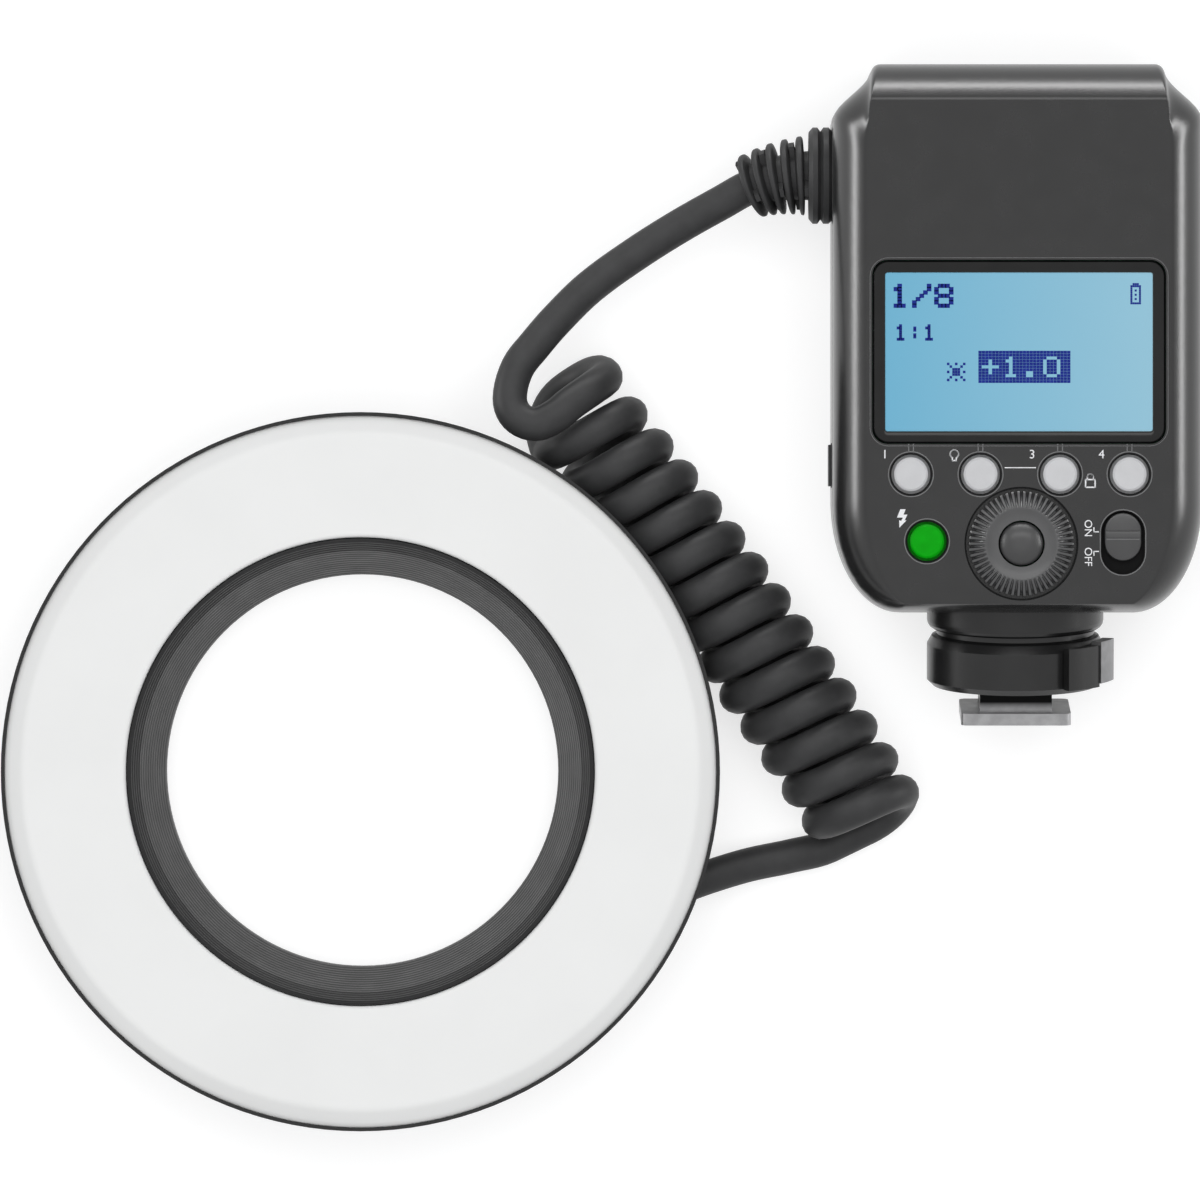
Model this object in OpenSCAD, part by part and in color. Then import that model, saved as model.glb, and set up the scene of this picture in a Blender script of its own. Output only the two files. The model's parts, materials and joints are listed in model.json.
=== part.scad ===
// Macro ring flash: a ring-shaped flash head on a curly cord and its shoe-mount control unit,
// lying on a table with the lamp and the display facing up.
// The origin is the centre of the lens bore on the table. +Z is up, +Y runs towards the unit's top end.

/* [Ring head] */
// Outside diameter of the head
ring_od = 122; // [116:0.5:128]
// Diameter of the lens bore
ring_bore = 67; // [60:0.5:68]
// Height of the head, back to lamp
ring_depth = 26.5; // [25:0.1:29]
// Diameter of the head's narrow back part
ring_back_d = 108; // [102:0.5:109]
// Diameter of the sleeve's front lip
sleeve_front_d = 79.2; // [77:0.1:82]
// Length of the straight lens bore
bore_len = 7; // [4:0.5:9]
// Wall of the head's shell
ring_wall = 1.8; // [1.4:0.1:2.2]
// Diameter of a flash tube
tube_d = 4.4; // [3:0.1:5]
// Number of modelling lamps
led_count = 12; // [6:1:20]
// Stroke of a release button
release_stroke = 1.5; // [0.5:0.1:2]

/* [Control unit] */
// Width of the body
body_w = 62.4; // [61:0.2:66]
// Height of the body without the foot
body_h = 92.7; // [90:0.1:98]
// Depth of the body, back cover to display face
body_d = 44; // [43:0.5:50]
// Width of the top edge
top_w = 49.6; // [46:0.2:54]
// Width of the flat display face
face_w = 50.6; // [50:0.1:53]
// Height of the seam between the two covers
seam_z = 28; // [28:0.5:29]
// Wall of the covers
wall = 2; // [1.6:0.1:2.2]

/* [Display and controls] */
// Width of the display window
window_w = 49.2; // [46:0.1:49.6]
// Height of the display window
window_h = 30.7; // [28:0.1:31]
// Thickness of the display window
window_t = 1.2; // [0.8:0.1:1.2]
// Diameter of a round key
key_d = 5.7; // [5:0.1:6]
// Stroke of the keys
key_stroke = 0.5; // [0.2:0.1:0.6]
// Diameter of the control dial
dial_d = 17.8; // [16:0.1:18]
// Diameter of the button in the dial
set_d = 7.3; // [6:0.1:7.4]
// Width of the power switch's knob
switch_w = 6.2; // [5:0.1:6.6]
// Travel of the power switch
switch_travel = 1.9; // [1:0.1:2.2]

/* [Battery] */
// Height of the battery across the body
battery_h = 34; // [30:0.5:35]
// Thickness of the battery
battery_t = 18; // [15:0.5:18.5]
// Length of the battery
battery_l = 46; // [40:0.5:50]

/* [Foot] */
// Lean of the foot from the display face, in degrees
foot_lean = 8; // [4:0.5:10]
// Width of the shoe plate, as the accessory shoe standard has it
shoe_w = 18.6; // [18.5:0.05:18.7]
// Length of the shoe plate
shoe_l = 18; // [17:0.1:19]
// Thickness of the shoe plate
shoe_t = 2; // [1.8:0.05:2.1]
// Width of the neck between the shoe's rails
neck_w = 12.2; // [11.5:0.1:12.4]
// Diameter of the lock collar
collar_d = 30; // [29:0.2:32]

/* [Cord] */
// Diameter of the cord
cord_d = 5.9; // [5:0.1:6]
// Outside diameter of the curls
coil_d = 20.6; // [18:0.1:20.6]
// Number of curls, with the last part curl
coil_turns = 13.25; // [10.25:1:13.25]
// Bend of the strain relief, in degrees
boot_bend = 27.4; // [10:0.1:30]

/* [Hidden] */
$fn = 64;

// Clearances: sliding pieces, running shafts, screws in their holes
slide_gap = 0.3;
run_gap = 0.05;
screw_gap = 0.05;
// Overshoot of a cutter past the face that it opens
over = 1;

// Place of the control unit: middle of its bottom edge, on the table
unit_x = 111.2;
unit_y = 27;

// Body outline: round lower corners, sloped shoulders and a narrow top edge
corner_rx = 11.7;
corner_ry = 19;
face_corner_rx = 10.3;
shoulder_h = 8.4;
shoulder_y = body_h - 9.4;
top_corner = 1.6;
face_taper = 0.9;
face_low = 1.6;
face_high = body_h - 6.5;
edge_depth = 10;
edge_z = body_d - edge_depth;
back_inset = 3;
back_round = 6;
outline_steps = 22;
round_steps = 6;

// Stack under the display face
inner_z = body_d - wall;
window_z = body_d - window_t;
glass_t = 2.9;
backlight_t = 3.4;
layer_gap = 0.1;
glass_z = inner_z - layer_gap - glass_t;
backlight_z = glass_z - backlight_t;
board_t = 1.6;
board_z = backlight_z - board_t;
board_top = backlight_z;
display_y = 43.9;
lit_w = window_w - 3.2;
lit_h = window_h - 3.1;

// Keys: their places on the face, collars under the cover and stems over the switches
key_places = [[-18.2, 23.3], [-6.5, 23.3], [6.9, 23.3], [18.6, 23.3]];
test_place = [-15.5, 12];
dial_place = [0.4, 11.6];
switch_place = [17.5, 11.8];
key_gap = 0.45;
key_proud = 0.4;
key_crown = 0.35;
key_collar = 0.85;
key_collar_t = 0.7;
key_chamfer = 0.35;
tact_w = 4.4;
tact_h = 2;
tact_plunger_h = 0.5;
tact_plunger_r = 0.9;
tact_top = board_top + tact_h + tact_plunger_h;
stem_r = 1.4;
stem_low = tact_top + key_stroke + 0.2;

// Dial: a knurled disc in a pocket, its hub in the encoder
dial_r = dial_d / 2;
dial_pocket_r = dial_r + 0.4;
dial_pocket_z = body_d - 1.6;
dial_low = dial_pocket_z + 0.2;
dial_high = body_d + 1.2;
dial_hole_r = set_d / 2 + 0.25;
hub_out_r = dial_hole_r + 1.5;
dial_bevel = 2.6;
dial_bevel_h = 1.1;
knurl_count = 54;
knurl_w = 0.5;
knurl_depth = 0.8;
encoder_r = hub_out_r + 2.6;
encoder_h = 2.6;
set_high = body_d + 1.5;

// Power switch: a knob in an oblong pocket
pocket_w = switch_w + 1.2;
pocket_z = body_d - 1.2;
knob_l = 8.1;
pocket_l = knob_l + switch_travel + 0.8;
knob_high = body_d + 0.3;
ridge_high = body_d + 0.9;
ridge_w = 1;
slot_w = 3.4;
knob_stem_l = 4;
slide_switch_h = 3;

// Screw posts that join the covers, and the boards between them
post_x = 24;
post_low = 16;
post_high = display_y + window_h / 2 + 8.75;
post_places = [[-post_x, post_low], [post_x, post_low], [-post_x, post_high], [post_x, post_high]];
post_r = 2.6;
screw_r = 1.1;
screw_head_r = 2.2;
screw_head_t = 1.5;
screw_head_low = 0.3;
screw_high = seam_z + 6;
rest_high = display_y + window_h / 2 + 2.75;
rest_places = [[-12.4, 23.3], [12.4, 23.3], [-20, rest_high], [20, rest_high]];
rest_r = 1.4;
power_board_z = seam_z - 3;
power_board_half = body_w / 2 - 4.7;
power_board_low = 13;
power_board_high = post_high + 3;
main_board_half = body_w / 2 - 5.2;
main_board_high = rest_high + 2;
main_board_low = 3;
main_board_toe = body_w / 2 - 15.2;
main_board_toe_h = 5;

// Battery: slides in at the right side
battery_y = 40;
battery_z = 4;
battery_right = body_w / 2;
battery_left = battery_right - battery_l;
bay_wall = 1.2;
bay_high = battery_z + 12;
contact_count = 3;
contact_pitch = 8;
contact_size = [2, 6];

// Energy store and converter
capacitor_r = 10.5;
capacitor_l = 40;
capacitor_y = battery_y + battery_h / 2 + slide_gap + bay_wall + capacitor_r + 0.5;
transformer_size = [14, 12, 13];
transformer_place = [-8, 4];

// Port on the left side, with a rubber flap on a hinge
port_y = 25;
port_z = 16;
flap_h = 7;
flap_l = 11;
flap_t = 1.4;
flap_proud = 0.5;
socket_size = [7, 3.3, 9];
socket_wall = 0.4;

// Foot stack, as distances below the body along the foot's own axis
foot_z = 20;
collar_r = collar_d / 2;
base_sink = 3;
base_low = 2.6;
base_round = 1.5;
groove_r = collar_r - 1.6;
groove_low = base_low + 0.8;
collar_step = 0.4;
collar_band = [0.8, 1.4];
collar_low = groove_low + 8.9;
neck_d = 14;
neck_low = collar_low + 3.8;
shoe_low = neck_low + shoe_t;
shoe_corner = 1.2;
lever_from = 34;
lever_to = 59;
lever_swing = 60;
lever_out = 2;
lever_high = groove_low + 0.9;
lever_low = collar_low - 0.9;
arm_high = groove_low + 4.1;
arm_t = 1.8;
arm_in_r = collar_r - 5.3;
plate_from = 16;
pin_r = 1.2;
pin_y = 5.4;
pin_high = collar_low - 2.1;
pin_stroke = 1.5;
contact_r = 0.9;
contact_proud = 0.8;
contact_stroke = 0.7;
contact_high = neck_low - 1.1;
contact_places = [[0, 0], [-3.2, -2.6], [3.2, -2.6], [0, -5.2]];
foot_screw_places = [[-4.7, -5.6], [4.7, -5.6], [-4.7, 5.6], [4.7, 5.6]];
foot_screw_r = 0.8;
foot_screw_head_r = 1.5;
foot_screw_head_t = 0.9;
foot_screw_high = collar_low - 2.3;

// Ring head, as radii and heights
bore_r = ring_bore / 2;
ring_r = ring_od / 2;
back_r = ring_back_d / 2;
back_t = 2;
lip_r = sleeve_front_d / 2;
rim_low = ring_depth - 6.2;
rim_step = ring_depth - 4.1;
rim_top = ring_depth - 0.9;
rim_t = 0.6;
sleeve_wall = 1.6;
sleeve_out_r = bore_r + 2.3;
sleeve_flange_r = sleeve_out_r + 4.2;
sleeve_top = ring_depth - 0.7;
diffuser_in = lip_r + slide_gap;
diffuser_out = ring_r - rim_t - 0.2;
diffuser_low = rim_step + 0.2;
diffuser_t = 1.9;
reflector_low = 11;
reflector_high = 19.5;
reflector_t = 1;
trough_in = lip_r + 3.4;
trough_out = ring_r - 9.5;
trough_flare = 3;
tube_ring_r = (trough_in + trough_out) / 2;
tube_z = reflector_low + reflector_t + 2.3 + tube_d / 2;
tube_end = 8;
clip_size = [4, 5];
led_z = reflector_high + 0.8;
led_w = 2;
led_h = 1;
ring_post_r = 2;
ring_post_angle = 45;
trigger_r = 3;
trigger_h = 5;
release_w = 11.4;
release_low = 3;
release_h = 4.6;
release_out = release_stroke + 0.1;
release_in = 9;
release_stop = 1.5;

// Where the cord enters the head: a point on the wall, the way out and the sleeve's sizes
ring_entry = [46.5, -23.3, 6.4];
ring_entry_turn = 22.6;
ring_gland_r = 4;
ring_gland_in = 3;
ring_gland_out = 6.5;
ring_gland_tip = 9.5;

// Strain relief at the unit: two rings at the body, then a ribbed sleeve that bends and droops
boot_y = body_h - 18.4;
boot_z = 18;
gland_r = 8.2;
gland_len = 3.9;
gland_neck_r = 4.4;
gland_inside = 1.6;
boot_turn_r = 22;
boot_ribs = 5;
boot_core_r = [4.8, 3.9];
boot_rib_r = [6.9, 5.5];
boot_rib_t = 1;
boot_side = [0, -0.8, -0.6];

// Cord route: chosen points from the strain relief to the curls, and from the curls to the head
lead_points = [
    [61.7, 97, 15.4], [54.2, 92.8, 14.4], [46.6, 88, 14.2], [38.9, 82.4, 14.7], [33.2, 76.8, 15.8],
    [29.6, 72.6, 17]
];
lead_root = [66, 99.3, 16.5];
loop_points = [
    [26.6, 68.6, 18.4], [25.3, 63.4, 19.8], [26.5, 60.3, 20.7], [29.5, 59, 21.3], [32.7, 60.2, 21.4],
    [36, 62.8, 20.4], [38.8, 65.2, 17.8]
];
loop_rings = 2;
coil_start = 0.25;
coil_axis = [[33.9, 63.7], [62.7, 29.9], [85.9, -7.5]];
coil_z = 10.4;
coil_pitch = 6.5;
coil_opening = 2.3;
coil_run_out = [[84.5, -13.2, 3.05], [78.5, -13.1, 3.05]];
coil_reach_out = [5, 5];
tail_points = [[72, -13.6, 3.1], [66, -15.3, 3.8], [60.5, -17.6, 5.2]];
tube_sides = 10;
curl_sides = 6;
curl_rings = 8;
bend_rings = 6;

// Curve helpers
function clip(t) = max(0, min(1, t));
function ease(t) = let (c = clip(t)) c * c * (3 - 2 * c);
function mix(a, b, t) = a + (b - a) * t;
function unit(v) = v / norm(v);
function turned(v, angle) = [v.x * cos(angle) - v.y * sin(angle), v.x * sin(angle) + v.y * cos(angle)];
function sum(v, i = 0) = i < len(v) ? v[i] + sum(v, i + 1) : 0;
function bezier(p, t) = let (s = 1 - t)
    p[0] * s * s * s + p[1] * 3 * s * s * t + p[2] * 3 * s * t * t + p[3] * t * t * t;

// Smooth line through points that leaves and ends along given ways, without its last point
function through(p, first, last, steps) = let (
    end = len(p) - 1,
    ways = [for (i = [0:end]) i == 0 ? first : i == end ? last : unit(p[i + 1] - p[i - 1])]
) [for (i = [0:end - 1], k = [0:steps - 1]) let (reach = norm(p[i + 1] - p[i]) / 3)
    bezier([p[i], p[i] + ways[i] * reach, p[i + 1] - ways[i + 1] * reach, p[i + 1]], k / steps)];

// Half widths of the body's outline and of its flat face, at a height above the bottom edge
function corner_cut(y, rx) = y < corner_ry ? rx * (1 - sqrt(1 - pow((corner_ry - y) / corner_ry, 2))) : 0;
function top_cut(y) = let (rise = (y - body_h) / top_corner + 1)
    rise > 0 ? top_corner * (1 - sqrt(max(0, 1 - rise * rise))) : 0;
function shoulder(y) = ease((y - shoulder_y) / shoulder_h);
function side_x(y) = body_w / 2 - corner_cut(y, corner_rx) - (body_w - top_w) / 2 * shoulder(y) - top_cut(y);
function face_x(y) = face_w / 2 - corner_cut(y, face_corner_rx) - face_taper * shoulder(y);

// One ring of body points at height z: f runs from the side (0) to the flat face (1), inset draws it in
function body_ring(f, z, inset, to_face) = let (
    heights = [for (i = [0:outline_steps]) (1 - cos(180 * i / outline_steps)) / 2],
    right = [for (t = heights) let (
        ys = t * body_h,
        yf = to_face ? mix(face_low, face_high, t) : ys + back_inset * (1 - 2 * t),
        xf = to_face ? face_x(yf) : side_x(ys) - back_inset
    ) [mix(side_x(ys), xf, f) - inset, mix(ys, yf, f) + inset * (1 - 2 * t), z]]
) concat(right, [for (i = [outline_steps:-1:0]) [-right[i].x, right[i].y, z]]);

// Solid through a stack of point rings
module loft(rings) {
    n = len(rings[0]);
    last = (len(rings) - 1) * n;
    sides = [for (k = [0:len(rings) - 2], i = [0:n - 1], half = [0, 1]) let (
        a = k * n + i,
        b = k * n + (i + 1) % n
    ) half == 0 ? [a, a + n, b + n] : [a, b + n, b]];
    polyhedron(
        [for (r = rings, p = r) p],
        concat(sides, [[for (i = [0:n - 1]) i], [for (i = [n - 1:-1:0]) last + i]])
    );
}

// Round tube along a line of points, with its own radius at each point
function tangents(p) = [for (i = [0:len(p) - 1])
    unit(p[min(i + 1, len(p) - 1)] - p[max(i - 1, 0)])];
function squared(v, t) = unit(v - t * (v * t));
function normals(t) = [for (
    i = 0, n = squared([0, 0.3, 1], t[0]);
    i < len(t);
    i = i + 1, n = i < len(t) ? squared(n, t[i]) : n
) n];
function tube_rings(p, t, n, radii, sides) = [for (i = [0:len(p) - 1]) let (b = cross(t[i], n[i]))
    [for (k = [0:sides - 1]) p[i] + radii[i] * (n[i] * cos(360 * k / sides) + b * sin(360 * k / sides))]];

// Row places of the unit, and of its foot with the foot's axis along +Z and the display side along +Y
module at_unit() translate([unit_x, unit_y, 0]) children();
module at_foot() translate([unit_x, unit_y, foot_z]) rotate([90 + foot_lean, 0, 0]) children();
module on_face(place) at_unit() translate([place.x, place.y, 0]) children();

// Round-ended oblong prism
module oblong(w, l, low, high) {
    for (side = [-1, 1]) translate([0, side * (l - w) / 2, low]) cylinder(r = w / 2, h = high - low);
    translate([-w / 2, -(l - w) / 2, low]) cube([w, l - w, high - low]);
}

// Covers
function rear_rings(low, high, inset) = concat(
    [body_ring(0, low, inset, true)],
    [for (i = [0:round_steps]) let (q = 90 * i / round_steps)
        body_ring(1 - cos(q), mix(edge_z, high, sin(q)), inset, true)]
);

module rear_cover() color([0.2, 0.2, 0.21]) {
    difference() {
        at_unit() loft(rear_rings(seam_z, body_d, 0));
        at_unit() loft(rear_rings(seam_z - over, inner_z, wall));
        on_face([0, display_y]) {
            translate([-window_w / 2 - layer_gap, -window_h / 2 - layer_gap, window_z])
                cube([window_w + 2 * layer_gap, window_h + 2 * layer_gap, window_t + over]);
            translate([-lit_w / 2, -lit_h / 2, inner_z - over]) cube([lit_w, lit_h, wall + over]);
        }
        for (place = concat(key_places, [test_place])) on_face(place) key_hole();
        on_face(dial_place) {
            translate([0, 0, dial_pocket_z]) cylinder(r = dial_pocket_r, h = over + body_d - dial_pocket_z);
            translate([0, 0, inner_z - over]) cylinder(r = hub_out_r + key_gap, h = wall + over);
        }
        on_face(switch_place) {
            oblong(pocket_w, pocket_l, pocket_z, body_d + over);
            translate([-slot_w / 2, -(knob_stem_l + switch_travel) / 2 - slide_gap, inner_z - over])
                cube([slot_w, knob_stem_l + switch_travel + 2 * slide_gap, wall + over]);
        }
    }
    at_unit() {
        for (p = rest_places) translate([p.x, p.y, board_top])
            cylinder(r = rest_r, h = inner_z + wall / 4 - board_top);
        for (p = post_places) difference() {
            translate([p.x, p.y, power_board_z + board_t])
                cylinder(r = post_r, h = inner_z - 1.4 - power_board_z - board_t);
            translate([p.x, p.y, power_board_z])
                cylinder(r = screw_r + screw_gap, h = screw_high + over - power_board_z);
        }
    }
}

module key_hole() {
    r = key_d / 2 + key_gap;
    translate([0, 0, inner_z - over]) cylinder(r = r, h = wall + 2 * over);
    translate([0, 0, body_d - key_chamfer]) cylinder(r1 = r, r2 = r + 2 * key_chamfer, h = 2 * key_chamfer);
}

module front_cover() color([0.17, 0.17, 0.18]) at_unit() difference() {
    union() {
        difference() {
            loft(concat(
                [for (i = [0:round_steps]) let (q = 90 - 90 * i / round_steps)
                    body_ring(1 - cos(q), back_round * (1 - sin(q)), 0, false)],
                [body_ring(0, seam_z, 0, false)]
            ));
            loft([
                body_ring(0.6, wall, wall, false), body_ring(0, back_round, wall, false),
                body_ring(0, seam_z + over, wall, false)
            ]);
        }
        for (p = post_places) translate([p.x, p.y, wall / 2])
            cylinder(r = post_r, h = power_board_z - wall / 2);
    }
    for (p = post_places) translate([p.x, p.y, -over]) {
        cylinder(r = screw_r + screw_gap, h = power_board_z + 2 * over);
        cylinder(r = screw_head_r + slide_gap, h = over + screw_head_low + screw_head_t);
    }
    translate([0, battery_y - battery_h / 2 - slide_gap, battery_z - slide_gap])
        cube([body_w, battery_h + 2 * slide_gap, battery_t + 2 * slide_gap]);
    translate([-body_w / 2 - over, boot_y, boot_z]) rotate([0, 90, 0])
        cylinder(r = gland_neck_r + run_gap, h = wall + 2 * over);
    translate([-body_w / 2 - over, port_y - flap_h / 2 - slide_gap, port_z - flap_l / 2 - slide_gap])
        cube([over + flap_t - flap_proud + run_gap, flap_h + 2 * slide_gap, flap_l + 2 * slide_gap]);
    translate([-body_w / 2 - over, port_y - socket_size.y / 2, port_z - socket_size.z / 2])
        cube([over + 2 * wall, socket_size.y, socket_size.z]);
}

// Display
module display_window() color([0.1, 0.1, 0.11]) on_face([0, display_y])
    translate([-window_w / 2, -window_h / 2, window_z]) cube([window_w, window_h, window_t]);

module display_glass() color([0.5, 0.75, 0.9]) on_face([0, display_y])
    translate([-lit_w / 2, -lit_h / 2, glass_z]) cube([lit_w, lit_h, glass_t]);

module display_backlight() color("white") on_face([0, display_y])
    translate([-lit_w / 2, -lit_h / 2, backlight_z]) cube([lit_w, lit_h, backlight_t]);

// Boards and what they carry
module main_board() color([0.1, 0.35, 0.2]) at_unit() {
    half = post_x - post_r - 0.4;
    step = post_low + post_r + 1;
    outline = [
        [main_board_toe, main_board_low], [half, main_board_low + main_board_toe_h], [half, step],
        [main_board_half, step], [main_board_half, main_board_high]
    ];
    translate([0, 0, board_z]) linear_extrude(board_t)
        polygon(concat(outline, [for (i = [len(outline) - 1:-1:0]) [-outline[i].x, outline[i].y]]));
}

module power_board() color([0.1, 0.35, 0.2]) at_unit() difference() {
    translate([-power_board_half, power_board_low, power_board_z])
        cube([2 * power_board_half, power_board_high - power_board_low, board_t]);
    for (p = post_places) translate([p.x, p.y, power_board_z - over])
        cylinder(r = screw_r + screw_gap, h = board_t + 2 * over);
}

module main_capacitor() color([0.15, 0.2, 0.35]) at_unit()
    translate([-capacitor_l / 2, capacitor_y, wall + 0.1 + capacitor_r]) rotate([0, 90, 0])
        cylinder(r = capacitor_r, h = capacitor_l);

module transformer() color([0.7, 0.6, 0.2]) at_unit()
    translate([transformer_place.x, transformer_place.y, wall]) cube(transformer_size);

module tact_switches() color("dimgray")
    for (place = concat(key_places, [test_place, dial_place])) on_face(place) {
        translate([-tact_w / 2, -tact_w / 2, board_top]) cube([tact_w, tact_w, tact_h]);
        translate([0, 0, board_top]) cylinder(r = tact_plunger_r, h = tact_h + tact_plunger_h);
    }

module dial_encoder() color([0.25, 0.25, 0.3]) on_face(dial_place) difference() {
    translate([0, 0, board_top]) cylinder(r = encoder_r, h = encoder_h);
    translate([0, 0, board_top - over]) cylinder(r = hub_out_r + run_gap, h = encoder_h + 2 * over);
}

module slide_switch() color("dimgray") on_face(switch_place)
    translate([-3, -5, board_top]) cube([6, 10, slide_switch_h]);

// Battery and its bay
module battery_pack() color([0.16, 0.16, 0.17]) at_unit() difference() {
    translate([battery_left, battery_y - battery_h / 2, battery_z]) cube([battery_l, battery_h, battery_t]);
    for (side = [-1, 1]) translate([battery_right, battery_y + side * battery_h / 4, battery_z - over])
        cylinder(r = 1.2, h = battery_t + 2 * over);
}

module battery_bay() color([0.3, 0.3, 0.32]) at_unit() {
    gap = slide_gap;
    left = battery_left - gap - bay_wall;
    length = body_w / 2 - wall - back_inset - gap - left;
    difference() {
        translate([left, battery_y - battery_h / 2 - gap - bay_wall, wall])
            cube([length, battery_h + 2 * (gap + bay_wall), bay_high - wall]);
        translate([left + bay_wall, battery_y - battery_h / 2 - gap, battery_z - gap])
            cube([length, battery_h + 2 * gap, bay_high]);
        for (i = [0:contact_count - 1]) bay_contact(i, over);
    }
}

module bay_contact(i, grow) translate([
    battery_left - slide_gap - bay_wall - grow,
    battery_y + (i - (contact_count - 1) / 2) * contact_pitch - contact_size.x / 2,
    battery_z + 3
]) cube([bay_wall + slide_gap - run_gap + grow, contact_size.x, contact_size.y]);

module battery_contacts() color("gold") at_unit() for (i = [0:contact_count - 1]) bay_contact(i, 0);

// Round keys with a crown, a collar under the cover and a stem
module key(place, d, tint) color(tint) on_face(place) {
    low = inner_z - slide_gap - key_collar_t;
    rotate_extrude() polygon([
        [0, stem_low], [stem_r, stem_low], [stem_r, low], [d / 2 + key_collar, low],
        [d / 2 + key_collar, low + key_collar_t], [d / 2, low + key_collar_t],
        [d / 2, body_d + key_proud - key_crown], [d / 2 - key_crown, body_d + key_proud - 0.1],
        [0, body_d + key_proud]
    ]);
}

module set_button() color([0.18, 0.18, 0.19]) on_face(dial_place) rotate_extrude() polygon([
    [0, stem_low], [stem_r, stem_low], [stem_r, dial_low - 2], [set_d / 2, dial_low - 2],
    [set_d / 2, dial_high - 0.1], [set_d / 2 - 0.5, dial_high + 0.1], [set_d / 4, set_high - 0.1],
    [0, set_high]
]);

module control_dial() color([0.2, 0.2, 0.21]) on_face(dial_place) difference() {
    rotate_extrude() polygon([
        [dial_hole_r, board_top + 0.6], [hub_out_r, board_top + 0.6],
        [hub_out_r, dial_low], [dial_r, dial_low],
        [dial_r, dial_high - dial_bevel_h], [dial_r - dial_bevel, dial_high],
        [dial_r - dial_bevel - 0.5, dial_high], [dial_r - dial_bevel - 0.9, dial_high - 0.35],
        [dial_hole_r, dial_high - 0.35]
    ]);
    for (i = [0:knurl_count - 1]) rotate(360 * i / knurl_count)
        translate([dial_r - dial_bevel, 0, dial_high]) rotate([0, atan(dial_bevel_h / dial_bevel), 0])
            translate([-0.3, -knurl_w / 2, -knurl_depth]) cube([2 * dial_bevel, knurl_w, 2 * knurl_depth]);
}

module power_switch() color([0.14, 0.14, 0.15])
on_face([switch_place.x, switch_place.y + switch_travel / 2]) {
    oblong(switch_w, knob_l, pocket_z + 0.15, knob_high);
    translate([-switch_w / 2 + 0.2, -ridge_w / 2, knob_high - 0.1])
        cube([switch_w - 0.4, ridge_w, ridge_high - knob_high + 0.1]);
    translate([-slot_w / 2 + slide_gap, -knob_stem_l / 2, board_top + slide_switch_h + 0.2])
        cube([slot_w - 2 * slide_gap, knob_stem_l, pocket_z + 0.2 - board_top - slide_switch_h]);
}

// Port and its flap
module port_cover() color([0.12, 0.12, 0.13]) at_unit()
    translate([-body_w / 2 - flap_proud, port_y - flap_h / 2, port_z - flap_l / 2])
        cube([flap_t, flap_h, flap_l]);

module usb_socket() color("silver") at_unit() difference() {
    left = -body_w / 2 + flap_t - flap_proud + slide_gap;
    translate([left, port_y - socket_size.y / 2, port_z - socket_size.z / 2]) cube(socket_size);
    translate([left - over, port_y - socket_size.y / 2, port_z - socket_size.z / 2])
        translate([0, socket_wall, socket_wall]) cube(socket_size - [0, 2 * socket_wall, 2 * socket_wall]);
}

module cover_screws() color("silver") at_unit() for (p = post_places) translate([p.x, p.y, 0]) {
    translate([0, 0, screw_head_low]) difference() {
        cylinder(r = screw_head_r, h = screw_head_t);
        for (turn = [0, 90]) rotate(turn) translate([-1.4, -0.25, -over]) cube([2.8, 0.5, over + 0.7]);
    }
    translate([0, 0, screw_head_low + 1]) cylinder(r = screw_r, h = screw_high - screw_head_low - 1);
}

// Foot
module foot_base() color([0.13, 0.13, 0.14]) difference() {
    at_foot() rotate_extrude() polygon(concat(
        [[0, -base_sink], [collar_r, -base_sink]],
        [for (i = [0:4]) let (q = 90 * i / 4)
            [collar_r - base_round * (1 - cos(q)), base_low - base_round * (1 - sin(q))]],
        [[groove_r, base_low], [groove_r, groove_low], [0, groove_low]]
    ));
    at_unit() translate([-body_w / 2, 0, 0]) cube([body_w, body_h, body_d]);
}

module lock_collar() color([0.12, 0.12, 0.13]) at_foot() difference() {
    rotate_extrude() polygon([
        [0, groove_low], [groove_r - 0.2, groove_low], [collar_r - collar_band.x, groove_low + collar_step],
        [collar_r, groove_low + collar_step + collar_band.y], [collar_r, collar_low - 1],
        [collar_r - 1, collar_low], [0, collar_low]
    ]);
    translate([0, 0, arm_high - 0.2]) rotate(lever_from - lever_swing - 4)
        rotate_extrude(angle = lever_swing + lever_to - lever_from)
            translate([arm_in_r - slide_gap, 0]) square([collar_r, arm_t + 0.4]);
    translate([0, pin_y, pin_high - pin_stroke]) cylinder(r = pin_r + run_gap, h = collar_low);
    for (p = foot_screw_places) translate([p.x, p.y, foot_screw_high - 0.5])
        cylinder(r = foot_screw_r + screw_gap, h = collar_low);
}

module shoe_foot() color("silver") at_foot() difference() {
    union() {
        translate([-neck_w / 2, -neck_d / 2, collar_low])
            cube([neck_w, neck_d, neck_low - collar_low + over / 2]);
        translate([0, 0, neck_low]) linear_extrude(shoe_t) polygon([for (q = [0:90:270], i = [0:6:90]) [
            sign(cos(q + 45)) * (shoe_w / 2 - shoe_corner) + shoe_corner * cos(q + i),
            sign(sin(q + 45)) * (shoe_l / 2 - shoe_corner) + shoe_corner * sin(q + i)
        ]]);
    }
    translate([0, pin_y, collar_low - over]) cylinder(r = pin_r + run_gap, h = shoe_low);
    for (p = contact_places) translate([p.x, p.y, contact_high - contact_stroke - 0.3])
        cylinder(r = contact_r + run_gap, h = shoe_low);
    for (p = foot_screw_places) translate([p.x, p.y, collar_low - over]) {
        cylinder(r = foot_screw_r + screw_gap, h = shoe_low);
        translate([0, 0, shoe_low - foot_screw_head_t - 0.1 - collar_low + over])
            cylinder(r = foot_screw_head_r + run_gap, h = shoe_t);
    }
}

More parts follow.
